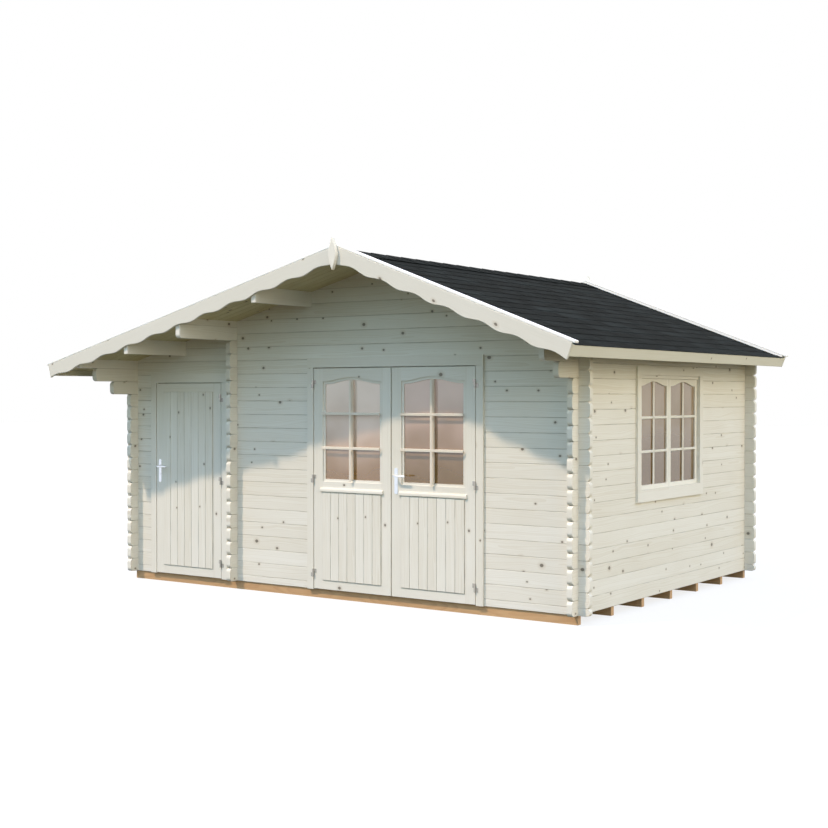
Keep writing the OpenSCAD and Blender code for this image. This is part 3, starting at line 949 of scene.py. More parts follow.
    @staticmethod
    def row(obj: Piece, count: int, step: Point) -> Piece:
        """Repeat a piece at equal steps with an Array modifier.

        Args:
            obj: The piece.
            count: Number of pieces.
            step: Step from one to the next.

        Returns:
            The same piece, repeated.
        """
        Bench.pick(obj)
        array = obj.modifiers.new("row", "ARRAY")
        array.count = count
        array.use_relative_offset = False
        array.use_constant_offset = True
        array.constant_offset_displace = step
        bpy.ops.object.modifier_apply(modifier=array.name)
        return obj

    @staticmethod
    def twin(obj: Piece, name: str, shift: Point) -> Piece:
        """Copy a piece with a mesh of its own and move the copy.

        Args:
            obj: The piece.
            name: Name of the copy.
            shift: Move from the piece to its copy.

        Returns:
            The copy.
        """
        Bench.pick(obj)
        bpy.ops.object.duplicate(linked=False)
        copy = Bench.named(name)
        copy.location = shift
        Bench.settle()
        return copy

    @staticmethod
    def merge(name: str, pieces: list[Piece]) -> Piece:
        """Join pieces into one object.

        Args:
            name: Name of the result.
            pieces: The pieces.

        Returns:
            The joined object.
        """
        Bench.pick(*pieces)
        bpy.ops.object.join()
        return Bench.named(name)

    @staticmethod
    def tilt(obj: Piece, about: Point, turn: float) -> Piece:
        """Turn a piece about the Y axis and move it from the origin to a point.

        Args:
            obj: The piece.
            about: Where the origin goes.
            turn: Angle in radians.

        Returns:
            The same piece, with its place in its mesh.
        """
        Bench.pick(obj)
        obj.rotation_euler = (0.0, turn, 0.0)
        obj.location = about
        Bench.settle()
        return obj


def close_to(value: float, target: float, room: float = 1e-4) -> bool:
    """True if a value is near a target."""
    return abs(value - target) < room


def edges_at(along: str = "", **places: float) -> EdgeTest:
    """Make a test for edges that lie at given places, run along an axis, or both.

    Args:
        along: The axis that they run along, or nothing for any.
        places: Where both ends lie on an axis.

    Returns:
        The test of an edge's two end points.
    """
    even = [axis for axis in "xyz" if along and axis != along]

    def test(first: Vector, second: Vector) -> bool:
        """True for an edge that is wanted."""
        placed = all(close_to(getattr(end, axis), at) for axis, at in places.items() for end in (first, second))
        return placed and all(close_to(getattr(first, axis), getattr(second, axis)) for axis in even)

    return test


def ease(width: float, *objects: Piece) -> None:
    """Round the sharp edges of CAD nodes a little with modifiers, which leave their meshes alone.

    Args:
        width: Width of the rounding.
        objects: The nodes' objects.
    """
    for obj in objects:
        weld = obj.modifiers.new("weld", "WELD")
        weld.merge_threshold = 1e-5
        flat = obj.modifiers.new("flat_faces", "DECIMATE")
        flat.decimate_type = "DISSOLVE"
        flat.angle_limit = math.radians(1.0)
        bevel = obj.modifiers.new("eased_edges", "BEVEL")
        bevel.width = width
        bevel.segments = 2
        bevel.limit_method = "ANGLE"
        bevel.angle_limit = math.radians(35.0)


def place_piece(obj: Piece, body: str, slot: str, finish: Finish, *nodes: str) -> None:
    """Dress a piece, let it ride on a body and stand for CAD nodes.

    Args:
        obj: The piece.
        body: The body that it rides on.
        slot: Name of its material slot; not used.
        finish: Its finish.
        nodes: CAD nodes that it stands for.
    """
    finish.dress(obj)
    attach(obj, body)
    if nodes:
        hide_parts(*nodes)
    LOG.info("%s: %d faces", obj.name, len(obj.data.polygons))


@dataclass
class Walls:
    """The log walls, bearers and purlins, which keep their CAD shapes.

    Args:
        nodes: The CAD nodes' objects.
        base: Height of the walls' foot.
        joint: Strength of the painted shade and dirt in the grooves at the joints between the logs.
    """

    nodes: dict[str, Piece]
    base: float
    joint: float = 0.45

    def dress(self) -> None:
        """Give each log its own grain, with courses half a log apart on crossing walls."""
        half = self.base + COURSE / 2
        front = Spruce("front_logs", Lay.FRONT_LEVEL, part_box("front_gable")[0][1], start=half, joint=self.joint)
        for name in ("front_wall_left", "front_wall_middle", "front_wall_right", "front_gable"):
            front.dress(self.nodes[name])
        back = Spruce("back_logs", Lay.FRONT_LEVEL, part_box("back_wall")[1][1], start=half, joint=self.joint)
        back.dress(self.nodes["back_wall"])
        for word, end in (("left", 0), ("right", 1), ("partition", 0)):
            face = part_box(f"{word}_wall")[end][0]
            side = Spruce(f"{word}_logs", Lay.SIDE_LEVEL, face, start=self.base, joint=self.joint)
            side.dress(self.nodes[f"{word}_wall"])
        Spruce("purlin_wood", Lay.FLAT_AWAY, board=0.6, knots=0.2).dress(self.nodes["purlins"])
        treated = Spruce("treated_bearers", Lay.FLAT_ACROSS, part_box("floor_bearers")[1][2], *TREATED, board=0.4,
                         knots=0.2, relief=0.4)
        treated.dress(self.nodes["floor_bearers"])


@dataclass
class Floors:
    """Floor boards of the two rooms.

    Args:
        pitch: Width of a board.
        groove: Width of the chamfers at a joint.
    """

    pitch: float = 0.088
    groove: float = 0.002

    def build(self, node: str) -> None:
        """Lay boards over a room's floor in place of its slab.

        Args:
            node: The floor's CAD node.
        """
        low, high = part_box(node)
        count = round((high[1] - low[1]) / self.pitch)
        step = (high[1] - low[1]) / count
        board = Bench.block(f"{node}_boards", tuple(low), (high[0], low[1] + step - SEAM, high[2]))
        Bench.soften(board, self.groove, edges_at("x", z=high[2]))
        Bench.row(board, count, (0.0, step, 0.0))
        finish = Spruce(f"{node}_wood", Lay.FLAT_ACROSS, high[2], board=step, start=low[1], joint=0.5)
        place_piece(board, CABIN, "joinery", finish, node)


@dataclass
class Slope:
    """One slope of the roof: boards under it, shingles on it and felt and battens at its edges.

    Heights are above the boards' underside, square to the slope.

    Args:
        side: 1 on the right, -1 on the left.
        pitch: Its angle.
        ridge: The ridge line's x and z, under the boards.
        front: Front end of the boards.
        back: Back end of the boards.
        length: Length of the boards down the slope.
        board_pitch: Width of a board.
        board_t: Thickness of the boards.
        board_over: How far a board starts beyond the ridge, before it is cut there.
        groove: Width of the chamfers at a board's joint.
        cover_top: Height of the covering's top.
        course: Height of a course of shingles.
        tab: Width of a tab.
        slot_w: Gap between two tabs.
        tab_t: Thickness of the felt.
        lap: How far a course, cap or batten starts further up than it shows.
        eave_top: Height of the eave board's top.
        eave_out: How far the eave felt reaches past the boards.
        eave_lap: How far the eave felt lies on the slope.
        eave_ease: Share of the eave felt's thickness that its outer edge is eased by.
        strip_foot: Height of the cover strips' underside.
        batten_ease: Width of the chamfer at a batten's foot.
        cap_w: Width of a ridge cap on each slope.
    """

    side: int
    pitch: float
    ridge: Span
    front: float
    back: float
    length: float
    board_pitch: float = 0.0908
    board_t: float = 0.019
    board_over: float = 0.02
    groove: float = 0.004
    cover_top: float = 0.0256
    course: float = 0.142
    tab: float = 0.32
    slot_w: float = 0.006
    tab_t: float = 0.003
    lap: float = 0.03
    eave_top: float = 0.0343
    eave_out: float = 0.0205
    eave_lap: float = 0.05
    eave_ease: float = 0.6
    strip_foot: float = 0.0516
    batten_ease: float = 0.003
    cap_w: float = 0.14

    @property
    def word(self) -> str:
        """The side's name."""
        return "right" if self.side > 0 else "left"

    def flat(self, name: str, down: Span, along: Span, up: Span) -> Piece:
        """A block that lies flat, before it is turned onto the slope.

        Args:
            name: Name of the piece.
            down: Its upper and lower end down the slope.
            along: Its front and back end.
            up: Heights of its underside and top.

        Returns:
            The block.
        """
        ends = sorted(self.side * end for end in down)
        return Bench.block(name, (ends[0], along[0], up[0]), (ends[1], along[1], up[1]))

    def raise_to_slope(self, obj: Piece) -> Piece:
        """Turn a flat piece onto the slope and cut it at the ridge."""
        Bench.tilt(obj, (self.ridge[0], 0.0, self.ridge[1]), self.side * self.pitch)
        return Bench.slice(obj, (self.ridge[0] + self.side * SEAM, 0.0, 0.0), (-self.side, 0.0, 0.0))

    def boards(self) -> None:
        """Roof boards from ridge to eave with grooved joints, as seen under the eaves."""
        count = round((self.back - self.front) / self.board_pitch)
        step = (self.back - self.front) / count
        board = self.flat(f"roof_boarding_{self.word}", (-self.board_over, self.length),
                          (self.front, self.front + step - SEAM), (0.0, self.board_t))
        Bench.soften(board, self.groove, edges_at("x", z=0.0))
        Bench.row(board, count, (0.0, step, 0.0))
        self.raise_to_slope(board)
        # The boards' colours carry painted shade from under the eaves.
        finish = Spruce(f"roof_boards_{self.word}", Lay.FLAT_ACROSS, 0.0, *ROOF_BOARD_SHADED, board=step, start=self.front,
                        pitch=self.side * self.pitch, joint=0.5)
        place_piece(board, CABIN, "joinery", finish, f"roof_boards_{self.word}")

    def shingles(self) -> None:
        """Courses of shingles between the barge boards, each lapped over the one below."""
        front, back = self.front + SEAM, self.back - SEAM
        rows = math.ceil(self.length / self.course)
        first = self.length - rows * self.course
        foot = self.cover_top + SEAM
        tab = self.flat("shingle_row", (-self.lap, self.course), (front - self.tab, front - self.slot_w),
                        (foot, foot + self.tab_t))
        Bench.lift(tab, self.tab_t + SEAM, edges_at(x=self.side * self.course))
        Bench.row(tab, math.ceil((back - front) / self.tab) + 2, (0.0, self.tab, 0.0))
        courses = []
        for row in range(rows):
            shift = (self.side * (first + row * self.course), -self.tab / 2 if row % 2 else 0.0, 0.0)
            courses.append(Bench.twin(tab, f"shingle_row_{row}", shift))
        bpy.data.objects.remove(tab, do_unlink=True)
        roof = Bench.merge(f"shingles_{self.word}", courses)
        Bench.slice(roof, (0.0, front, 0.0), (0.0, -1.0, 0.0))
        Bench.slice(roof, (0.0, back, 0.0), (0.0, 1.0, 0.0))
        self.raise_to_slope(roof)
        place_piece(roof, CABIN, "roof_felt", self.felt())

    def felt(self) -> Shingle:
        """The slope's shingle finish."""
        return Shingle(f"roof_shingle_{self.word}", self.pitch, self.ridge, self.side, self.course, self.tab)

    def eave_felt(self, front: float, back: float) -> None:
        """A strip of felt over the eave board's top edge, eased along its outer edge.

        Args:
            front: Front end of the strip.
            back: Back end of the strip.
        """
        foot = self.eave_top + SEAM
        top = foot + self.tab_t
        end = self.length + self.eave_out
        strip = self.flat(f"eave_felt_{self.word}", (self.length - self.eave_lap, end), (front, back), (foot, top))
        Bench.soften(strip, self.tab_t * self.eave_ease, edges_at(x=self.side * end, z=top), 2)
        self.raise_to_slope(strip)
        place_piece(strip, CABIN, "roof_felt", self.felt())

    def edge_battens(self, front: float, back: float) -> None:
        """Battens between the felt and the strips that cover the roof's front and back edges.

        Args:
            front: Inner edge of the front strip.
            back: Inner edge of the back strip.
        """
        foot = self.cover_top + 2 * self.tab_t + 3 * SEAM
        wood = Spruce("batten_wood", Lay.FRONT_LEVEL, 0.0, *WHITE_TRIM, board=3.0, knots=0.0)
        for word, ends, inner in (("front", (self.front + SEAM, front - SEAM), front - SEAM),
                                  ("back", (back + SEAM, self.back - SEAM), back + SEAM)):
            batten = self.flat(f"{word}_batten_{self.word}", (-self.lap, self.length), ends,
                               (foot, self.strip_foot - SEAM))
            Bench.soften(batten, self.batten_ease, edges_at(y=inner, z=foot))
            self.raise_to_slope(batten)
            place_piece(batten, CABIN, "joinery", wood)

    def cap_wing(self, front: float, length: float) -> Piece:
        """One half of a ridge cap on this slope.

        Args:
            front: Front end of the cap.
            length: Length of the cap along the ridge.

        Returns:
            The half cap.
        """
        foot = self.cover_top + 2 * self.tab_t + 2 * SEAM
        wing = self.flat(f"cap_{self.word}", (-self.lap, self.cap_w), (front, front + length),
                         (foot, foot + self.tab_t))
        Bench.lift(wing, self.tab_t + SEAM, edges_at(y=front))
        return self.raise_to_slope(wing)


@dataclass
class Roof:
    """The roof over both rooms.

    Args:
        nodes: The CAD nodes' objects.
        ridge: The ridge line's x and z, under the boards.
        cap_step: Step from one ridge cap to the next.
        cap_lap: How far a cap lies on the next one.
        eased: Rounding of the trim's edges.
    """

    nodes: dict[str, Piece]
    ridge: Span
    cap_step: float = 0.2
    cap_lap: float = 0.03
    eased: float = 0.004

    def slopes(self) -> list[Slope]:
        """Size both slopes from the boards' CAD nodes.

        Returns:
            The right slope and the left one.
        """
        made = []
        for side, pitch, word in ((1, RIGHT_PITCH, "right"), (-1, LEFT_PITCH, "left")):
            low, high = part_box(f"roof_boards_{word}")
            reach = high[0] - self.ridge[0] if side > 0 else self.ridge[0] - low[0]
            length = (reach - Slope.board_t * math.sin(pitch)) / math.cos(pitch)
            made.append(Slope(side, pitch, self.ridge, low[1], high[1], length))
        return made

    def build(self) -> None:
        """Lay boards, shingles and ridge caps, and dress the trim."""
        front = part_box("front_cover_strips")[1][1] + SEAM
        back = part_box("back_cover_strips")[0][1] - SEAM
        slopes = self.slopes()
        for slope in slopes:
            slope.boards()
            slope.shingles()
            slope.eave_felt(front, back)
            slope.edge_battens(front, back)
            slope.felt().dress(self.nodes[f"roof_covering_{slope.word}"])
        caps = Bench.merge("ridge_caps", [slope.cap_wing(front, self.cap_step + self.cap_lap) for slope in slopes])
        Bench.row(caps, math.ceil((back - front) / self.cap_step), (0.0, self.cap_step, 0.0))
        Bench.slice(caps, (0.0, back, 0.0), (0.0, 1.0, 0.0))
        place_piece(caps, CABIN, "roof_felt", slopes[0].felt())
        self.dress_trim()

    def dress_trim(self) -> None:
        """Planed wood with eased edges for the barge boards, strips, finials and eave boards."""
        for word, end in (("front", 0), ("back", 1)):
            for node, wood, tones, knots in ((f"{word}_barge_boards", "barge", BARGE, 0.3),
                                             (f"{word}_cover_strips", "strip", WHITE_TRIM, 0.0)):
                finish = Spruce(f"{word}_{wood}_wood", Lay.FRONT_LEVEL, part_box(node)[end][1], *tones, board=1.0,
                                start=0.5, knots=knots, ridge=self.ridge[0])
                finish.dress(self.nodes[node])
                ease(self.eased, self.nodes[node])
        finial = Spruce("finial_wood", Lay.FRONT_UPRIGHT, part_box("finials")[0][1], board=3.0, knots=0.0)
        finial.dress(self.nodes["finials"])
        eave = Spruce("eave_wood", Lay.SIDE_LEVEL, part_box("eave_boards")[1][0], *EAVE, board=3.0, knots=0.3)
        eave.dress(self.nodes["eave_boards"])
        ease(self.eased, self.nodes["finials"], self.nodes["eave_boards"])


@dataclass
class Joinery:
    """Doors and window: boarded panels, glazing bars and finishes.

    Args:
        nodes: The CAD nodes' objects.
        base: Height of the walls' foot.
        board: Width of a panel's board.
        groove: Width of the chamfers at a board's joint.
        chamfer: Width of the chamfer at a board's ends and on the sashes.
        bar_w: Width of a glazing bar.
        bar_d: Depth of a glazing bar.
        bar_bevel: Greatest chamfer of a glazing bar.
        lath: Thickness of the laths on the doors.
        lap: How far a lath laps over the leaf.
        lath_short: How far a lath ends below the pane's head.
        play: Play between a bar and the frame that it meets.
        door_levels: Heights of the doors' level bars above the walls' foot.
        window_levels: Heights of the window's level bars above the walls' foot.
        stile: Width of a leaf's stile.
        sash_bar: Width of a sash's bar.
        eased: Rounding of the joinery's edges.
    """

    nodes: dict[str, Piece]
    base: float
    board: float = 0.0846
    groove: float = 0.003
    chamfer: float = 0.006
    bar_w: float = 0.022
    bar_d: float = 0.013
    bar_bevel: float = 0.005
    lath: float = 0.006
    lap: float = 0.016
    lath_short: float = 0.004
    play: float = 0.001
    door_levels: Span = (1.438, 1.160)
    window_levels: Span = (1.410, 1.143)
    stile: float = 0.092
    sash_bar: float = 0.038
    eased: float = 0.0008

    def panel(self, node: str, body: str) -> None:
        """Upright boards with grooved joints and chamfered ends in place of a leaf's panel.

        Args:
            node: The panel's CAD node.
            body: The leaf's body.
        """
        low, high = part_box(node)
        count = round((high[0] - low[0]) / self.board)
        step = (high[0] - low[0]) / count
        board = Bench.block(f"{node}_boards", tuple(low), (low[0] + step - SEAM, high[1], high[2]))
        Bench.soften(board, self.chamfer, edges_at("x", y=low[1]))
        Bench.soften(board, self.groove, edges_at("z"))
        Bench.row(board, count, (step, 0.0, 0.0))
        finish = Spruce(f"{node}_wood", Lay.FRONT_UPRIGHT, low[1], board=step, start=low[0], joint=0.5)
        place_piece(board, body, "joinery", finish, node)

    def bar(self, low: Point, high: Point) -> Piece:
        """One glazing bar with its long edges chamfered.

        Args:
            low: Lowest corner.
            high: Highest corner.

        Returns:
            The bar.
        """
        along = max(range(3), key=lambda axis: high[axis] - low[axis])
        bar = Bench.block("bar", low, high)
        bevel = min(self.bar_bevel, (high[1] - low[1]) * 0.4, (high[0] - low[0]) * 0.4)
        return Bench.soften(bar, bevel, lambda a, b: abs(a[along] - b[along]) > self.bar_w * 2)

    def door_bars(self, leaf: str, body: str) -> None:
        """Glazing bars on both faces of a door's pane, with laths that lap over the leaf's outer face.

        Args:
            leaf: The leaf's CAD node.
            body: The leaf's body.
        """
        node = f"{leaf}_glass"
        low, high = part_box(node)
        half = self.bar_w / 2
        middle = (low[0] + high[0]) / 2
        levels = [self.base + level for level in self.door_levels]
        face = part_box(leaf)[0][1] - SEAM
        out = face - self.lath
        bars = [self.bar((middle - half, out, low[2] - self.lap), (middle + half, face, high[2] - self.lath_short))]
        for level in levels:
            bars.append(self.bar((low[0] - self.lap, out - SEAM, level - half),
                                 (high[0] + self.lap, face - SEAM, level + half)))
        for y0, y1 in ((low[1] - self.bar_d, low[1] - SEAM), (high[1] + SEAM, high[1] + self.bar_d)):
            bars.append(self.bar((middle - half, y0, low[2]), (middle + half, y1, high[2] - self.play)))
            for level in levels:
                bars.append(self.bar((low[0], y0, level - half), (high[0], y1, level + half)))
        wood = Spruce("bar_wood", Lay.FRONT_UPRIGHT, low[1], *GLAZING_BAR, board=3.0, knots=0.0)
        place_piece(Bench.merge(f"{node}_bars", bars), body, "joinery", wood)

    def window_bars(self) -> None:
        """Glazing bars on both faces of the window's panes."""
        low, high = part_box("window_glass")
        sash_low, sash_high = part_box("window_sashes")
        half = self.bar_w / 2
        width = (sash_high[1] - sash_low[1]) / 2 - self.sash_bar * 2 - self.play
        bars = []
        for x0, x1 in ((high[0] + SEAM, high[0] + self.bar_d), (low[0] - self.bar_d, low[0] - SEAM)):
            for start in (low[1], high[1] - width):
                centre = start + width / 2
                bars.append(self.bar((x0, centre - half, low[2]), (x1, centre + half, high[2] - self.play)))
                for level in (self.base + level for level in self.window_levels):
                    bars.append(self.bar((x0, start, level - half), (x1, start + width, level + half)))
        wood = Spruce("window_bar_wood", Lay.SIDE_UPRIGHT, high[0], board=3.0, knots=0.0)
        place_piece(Bench.merge("window_glazing_bars", bars), CABIN, "joinery", wood)

    def dress_doors(self) -> None:
        """Give the leaves' rails and the frames' heads level grain and the other pieces upright grain."""
        for name in ("left_leaf", "right_leaf", "store_leaf"):
            low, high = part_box(name)
            rails = ("X", ((low[0] + self.stile, high[0] - self.stile),))
            leaf = Spruce(f"{name}_wood", Lay.FRONT_UPRIGHT, low[1], board=1.0, start=low[0] - 0.3, knots=0.25,
                          level=rails)
            leaf.dress(self.nodes[name])
        for word, leaf_name in (("main", "left_leaf"), ("store", "store_leaf")):
            head = ("Z", ((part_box(leaf_name)[1][2], BEYOND),))
            for name in (f"{word}_door_frame", f"{word}_door_casing"):
                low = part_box(name)[0]
                frame = Spruce(f"{name}_wood", Lay.FRONT_UPRIGHT, low[1], board=0.8, start=low[0] - 0.2, knots=0.25,
                               level=head)
                frame.dress(self.nodes[name])

    def dress_window(self) -> None:
        """Give the window's rails, head and foot level grain and the other pieces upright grain."""
        low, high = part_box("window_sashes")
        middle = (low[1] + high[1]) / 2
        rails = ("Y", ((low[1] + self.sash_bar, middle - self.sash_bar),
                       (middle + self.sash_bar, high[1] - self.sash_bar)))
        ends = ("Z", ((-BEYOND, low[2]), (high[2], BEYOND)))
        for name, level in (("window_sashes", rails), ("window_frame", ends), ("window_casing", ends)):
            wood = Spruce(f"{name}_wood", Lay.SIDE_UPRIGHT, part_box(name)[1][0], board=0.8, start=low[1] - 0.3,
                          knots=0.2, level=level)
            wood.dress(self.nodes[name])

    def glaze(self, node: str, name: str, head: Colour, foot: Colour, index: float = PaneWithPaintedReflection.index) -> None:
        """Give a pane its glass.

        Args:
            node: The pane's CAD node.
            name: The material's name.
            head: Colour at the head, a painted reflection of pale sky.
            foot: Colour at the foot, a painted reflection of brown ground.
            index: Refractive index.
        """
        low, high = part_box(node)
        PaneWithPaintedReflection(name, (low[2], high[2]), head, foot, index).dress(self.nodes[node])

    def build(self) -> None:
        """Build every door and window piece and dress the CAD nodes."""
        for word in ("left", "right", "store"):
            self.panel(f"{word}_leaf_panel", f"{word}_door")
        for word in ("left", "right"):
            self.door_bars(f"{word}_leaf", f"{word}_door")
        self.window_bars()
        # Each pane gets its own painted reflection, pale at the head and brown at the foot, with head, foot and index
        # set pane by pane.
        self.glaze("left_leaf_glass", "left_pane", from_srgb(253, 231, 215), from_srgb(140, 96, 8), 2.45)
        self.glaze("right_leaf_glass", "right_pane", from_srgb(243, 212, 198), from_srgb(120, 87, 16), 2.1)
        self.glaze("window_glass", "window_pane", from_srgb(170, 149, 122), from_srgb(112, 82, 14))
        self.dress_doors()
        self.dress_window()
        for name in ("left_leaf", "right_leaf", "store_leaf", "main_door_casing", "store_door_casing", "window_casing"):
            ease(self.eased, self.nodes[name])
        ease(self.chamfer, self.nodes["window_sashes"])
        zinc = Steel("hinge_zinc", from_srgb(166, 167, 164), from_srgb(186, 186, 182), (0.55, 0.7))
        for word in ("main_frame", "left_leaf", "right_leaf", "store_frame", "store_leaf"):
            zinc.dress(self.nodes[f"{word}_hinges"])
        Handle("main", "right_door", "right_door_lever").build()
        Handle("store", "store_door", "store_door_lever").build()


@dataclass
class Handle:
    """A door's handle: a plate, collar, lock and lever on each face of the leaf.

    Args:
        word: First word of the CAD nodes' names.
        door: The leaf's body.
        turn: The lever's body.
        plate_t: Thickness of a plate.
        corner: Rounding of a plate's corners.
        rim: Rounding of a plate's rim.
        collar: Radius of the collar and how far it stands out.
        lock: Radius of the lock and how far it stands out.
        screw: Radius of a screw and how far it stands out.
        root: How far a stud reaches into the plate.
        stud_ease: Share of a stud's height that its rim is eased by.
        lock_slot: Rim round the lock's slot and depth of the slot.
        screw_slot: Rim round a screw's slot and depth of the slot.
        slot_share: Share of its width that a slot keeps.
        lock_drop: How far the lock lies below the spindle.
        screw_in: How far a screw lies from the plate's end.
        bend: Radius of the lever's bend.
        play: How far the lever stays inside its CAD solid.
    """

    word: str
    door: str
    turn: str
    plate_t: float = 0.004
    corner: float = 0.012
    rim: float = 0.0012
    collar: Span = (0.0135, 0.006)
    lock: Span = (0.0085, 0.003)
    screw: Span = (0.004, 0.0014)
    root: float = 0.001
    stud_ease: float = 0.35
    lock_slot: Span = (0.0025, 0.002)
    screw_slot: Span = (0.0008, 0.0008)
    slot_share: float = 0.3
    lock_drop: float = 0.072
    screw_in: float = 0.016
    bend: float = 0.019
    play: float = 0.0002

    def stud(self, name: str, at: Point, size: Span) -> Piece:
        """A round stud that stands out from the plate, with its rim eased.

        Args:
            name: Name of the stud.
            at: Its middle on the plate's face.
            size: Its radius and how far it stands out.

        Returns:
            The stud.
        """
        radius, rise = size
        front = at[1] - rise
        length = rise + self.root
        stud = Bench.rod(name, (at[0], front + length / 2, at[2]), radius, length)
        return Bench.soften(stud, rise * self.stud_ease, edges_at(y=front), 2)

    def plates(self, low: Point, high: Point, spindle: Span) -> Piece:
        """Both plates with their collars, locks and screws.

        Args:
            low: Lowest corner of the CAD plates.
            high: Highest corner of the CAD plates.
            spindle: X and z of the spindle.

        Returns:
            The plates as one piece.
        """
        face, x = low[1], spindle[0]
        plate = Bench.block("plate", tuple(low), (high[0], face + self.plate_t, high[2]))
        Bench.soften(plate, self.corner, edges_at("y"), 6)
        Bench.soften(plate, self.rim, edges_at(y=face), 2)
        collar = self.stud("collar", (x, face, spindle[1]), self.collar)
        lock = self.stud("lock", (x, face, spindle[1] - self.lock_drop), self.lock)
        Bench.sink(lock, face - self.lock[1], *self.lock_slot, self.slot_share)
        studs = [collar, lock]
        for height in (low[2] + self.screw_in, high[2] - self.screw_in):
            screw = self.stud("screw", (x, face, height), self.screw)
            studs.append(Bench.sink(screw, face - self.screw[1], *self.screw_slot, self.slot_share))
        outer = Bench.close(Bench.merge("plate_out", [plate, *studs]))
        inner = Bench.reflect(outer, "plate_in", (low[1] + high[1]) / 2)
        return Bench.merge(f"{self.word}_handle_plate_pair", [outer, inner])

    def levers(self, low: Point, high: Point, spindle: Span, start: float) -> Piece:
        """Both levers, each a rod that comes out of the collar, bends and runs along the leaf.

        Args:
            low: Lowest corner of the CAD lever.
            high: Highest corner of the CAD lever.
            spindle: X and z of the spindle.
            start: Y where the outer lever begins.

        Returns:
            The levers as one piece.
        """
        x, z = spindle
        radius = (high[2] - low[2]) / 2 - self.play
        neck_end = low[1] + radius + self.play + self.bend
        tip = high[0] - self.play
        Bench.clear()
        bpy.ops.mesh.primitive_circle_add(vertices=ROUND_SIDES, radius=radius, fill_type="NGON",
                                          location=(x, start, z), rotation=(math.pi / 2, 0.0, 0.0))
        Bench.settle()
        lever = Bench.named("lever_out")
        Bench.open_whole(lever)
        bpy.ops.mesh.extrude_region_move(TRANSFORM_OT_translate={"value": (0.0, neck_end - start, 0.0)})
        bpy.ops.mesh.spin(steps=8, angle=-math.pi / 2, center=(x + self.bend, neck_end, z), axis=(0.0, 0.0, 1.0))
        bpy.ops.mesh.extrude_region_move(TRANSFORM_OT_translate={"value": (tip - x - self.bend, 0.0, 0.0)})
        bpy.ops.object.mode_set(mode="OBJECT")
        Bench.soften(lever, radius * 0.6, edges_at(x=tip), 4)
        Bench.close(lever)
        inner = Bench.reflect(lever, "lever_in", (low[1] + high[1]) / 2)
        both = Bench.merge(f"{self.word}_handle_lever_pair", [lever, inner])
        bpy.ops.object.shade_smooth_by_angle(angle=math.radians(40.0))
        return both

    def build(self) -> None:
        """Build the plates on the leaf and the levers on their own body."""
        low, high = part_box(f"{self.word}_handle_lever")
        radius = (high[2] - low[2]) / 2
        spindle = (low[0] + radius, (low[2] + high[2]) / 2)
        plate_low, plate_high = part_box(f"{self.word}_handle_plates")
        metal = Steel("handle_zinc", from_srgb(215, 224, 235), from_srgb(235, 240, 246), (0.28, 0.4))
        place_piece(self.plates(plate_low, plate_high, spindle), self.door, "fittings", metal,
                    f"{self.word}_handle_plates")
        start = plate_low[1] - self.collar[1] - SEAM
        place_piece(self.levers(low, high, spindle, start), self.turn, "fittings", metal, f"{self.word}_handle_lever")


@dataclass(frozen=True)
class Lamp:
    """A lamp so far off that its light is parallel.

    Args:
        name: Name of the lamp.
        towards: Direction of its light.
        strength: Its strength.
        spread: Its width as an angle in degrees, which softens the shadow.
        colour: Its colour.
    """

    name: str
    towards: Point
    strength: float
    spread: float
    colour: Colour

    def build(self) -> None:
        """Hang the lamp."""
        data = bpy.data.lights.new(self.name, "SUN")
        data.energy = self.strength
        data.angle = math.radians(self.spread)
        data.color = self.colour
        lamp = bpy.data.objects.new(self.name, data)
        lamp.rotation_euler = Vector(self.towards).to_track_quat("-Z", "Y").to_euler()
        bpy.context.scene.collection.objects.link(lamp)


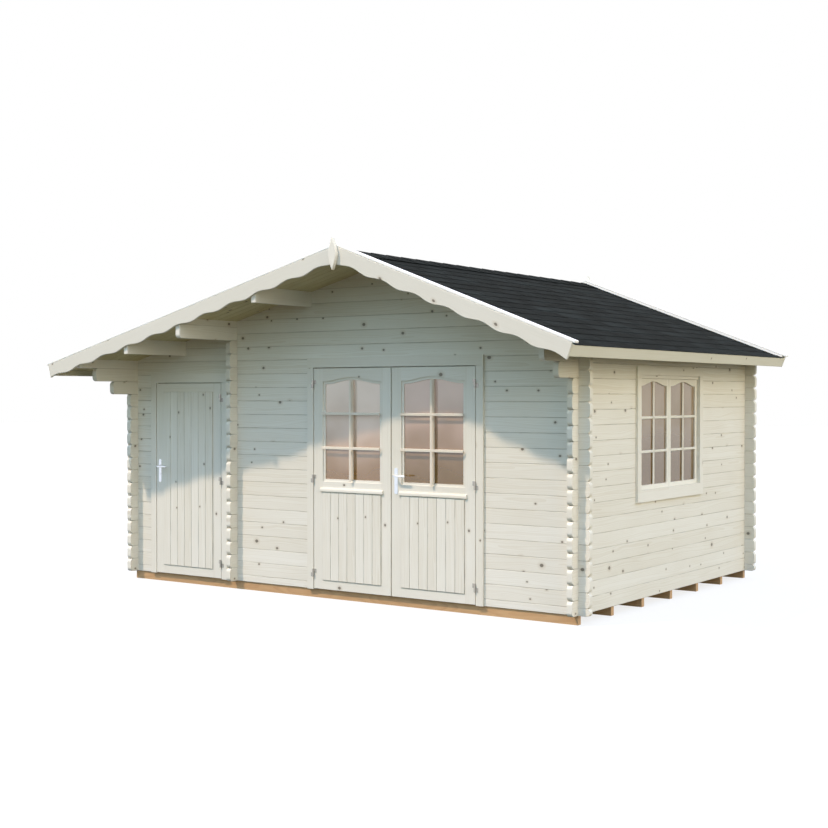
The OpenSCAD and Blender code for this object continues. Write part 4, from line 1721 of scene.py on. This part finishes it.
@dataclass
class Studio:
    """Floor, lamps, surroundings and camera.

    Args:
        corner: Foot of the corner between the front and the right wall.
        key: The main lamp.
        side_fill: A wide warm lamp from the right.
        floor_half: Half the floor's width.
        floor_drop: How far the floor lies below the bearers.
        floor_glow: How strongly the floor's white shows.
        floor_dull: The floor's colour for light that it throws back.
        floor_seen: The floor's colour as it is seen.
        sky_low: Light from the horizon.
        sky_high: Light from above.
        lens: The camera's focal length in millimetres.
        sensor: Width of the camera's sensor in millimetres.
        sight: How far the camera sees.
        azimuth: The camera's turn about the upright axis.
        dip: How far the camera looks down.
        eye: The camera's place from the corner.
    """

    corner: Point
    key: Lamp = Lamp("key", (0.668, 1.0, -1.563), 2.82, 2.0, (1.0, 0.79, 0.61))
    side_fill: Lamp = Lamp("side_fill", (-1.0, 0.04, -0.21), 1.92, 55.0, (1.0, 0.74, 0.42))
    floor_half: float = 60.0
    floor_drop: float = 0.0005
    floor_glow: float = 0.8
    floor_dull: Colour = (0.04, 0.032, 0.014)
    floor_seen: Colour = (0.2, 0.2, 0.2)
    sky_low: Colour = (0.74, 1.02, 1.0)
    sky_high: Colour = (1.05, 1.32, 2.0)
    lens: float = 59.6
    sensor: float = 36.0
    sight: float = 200.0
    azimuth: float = math.radians(35.10)
    dip: float = math.radians(0.756)
    eye: Point = (4.6866, -8.7198, 1.5817)

    @staticmethod
    def seen(bench: NodeBench) -> Socket:
        """Tell rays of the camera, and those that metal and glass send on, from other rays.

        Args:
            bench: The bench of the floor or the world.

        Returns:
            1 for those rays, 0 for others.
        """
        rays = bench.add("ShaderNodeLightPath").outputs
        sent_on = bench.sum("MAXIMUM", rays["Is Glossy Ray"], rays["Is Transmission Ray"])
        return bench.sum("MAXIMUM", rays["Is Camera Ray"], sent_on)

    def floor(self) -> None:
        """A wide floor that looks white, keeps the cabin's shadow and throws little light back."""
        Bench.clear()
        bpy.ops.mesh.primitive_plane_add(size=2 * self.floor_half, location=(0.0, 0.0, -self.floor_drop))
        floor = Bench.named("studio_floor")
        made = bpy.data.materials.new("studio_floor")
        made.use_nodes = True
        bench = NodeBench(made.node_tree)
        shader = made.node_tree.nodes["Principled BSDF"]
        seen = self.seen(bench)
        bench.feed(shader.inputs["Base Color"], bench.blend(seen, self.floor_dull, self.floor_seen))
        bench.feed(shader.inputs["Emission Color"], bench.blend(seen, BLACK, WHITE))
        shader.inputs["Emission Strength"].default_value = self.floor_glow
        shader.inputs["Roughness"].default_value = 0.9
        shader.inputs["Specular IOR Level"].default_value = 0.0
        floor.data.materials.append(made)

    def surroundings(self) -> None:
        """Soft light from all round, and a white background."""
        world = bpy.data.worlds.new("studio")
        world.use_nodes = True
        bpy.context.scene.world = world
        bench = NodeBench(world.node_tree)
        back = world.node_tree.nodes["Background"]
        height = bench.split(bench.add("ShaderNodeTexCoord").outputs["Generated"])["Z"]
        sky = bench.blend(bench.spread(height, 0.0, 1.0), self.sky_low, self.sky_high)
        bench.feed(back.inputs["Color"], bench.blend(self.seen(bench), sky, WHITE))
        back.inputs["Strength"].default_value = 1.0

    def camera(self) -> None:
        """The camera at the photograph's place."""
        data = bpy.data.cameras.new("photo_camera")
        data.lens = self.lens
        data.sensor_width = self.sensor
        data.clip_end = self.sight
        camera = bpy.data.objects.new("photo_camera", data)
        camera.location = [a + b for a, b in zip(self.corner, self.eye)]
        camera.rotation_euler = (math.pi / 2 - self.dip, 0.0, self.azimuth)
        bpy.context.scene.collection.objects.link(camera)
        bpy.context.scene.camera = camera

    def build(self) -> None:
        """Set up the whole studio."""
        self.floor()
        self.key.build()
        self.side_fill.build()
        self.surroundings()
        self.camera()
        bpy.context.scene.view_settings.view_transform = "Standard"


def main() -> None:
    """Load the frame, read the boxes of the right wall and the finials, and build each sub-assembly."""
    logging.basicConfig(level=logging.INFO, format="%(message)s")
    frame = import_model()
    nodes = frame["nodes"]
    wall_low, wall_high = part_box("right_wall")
    finial_low, finial_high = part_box("finials")
    base = wall_low[2]
    ridge = ((finial_low[0] + finial_high[0]) / 2, finial_high[2] - FINIAL_RISE)
    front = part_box("front_gable")[0][1]
    Walls(nodes, base).dress()
    for node in ("main_floor", "store_floor"):
        Floors().build(node)
    Roof(nodes, ridge).build()
    Joinery(nodes, base).build()
    Studio((wall_high[0], front, base)).build()


if __name__ == "__main__":
    main()
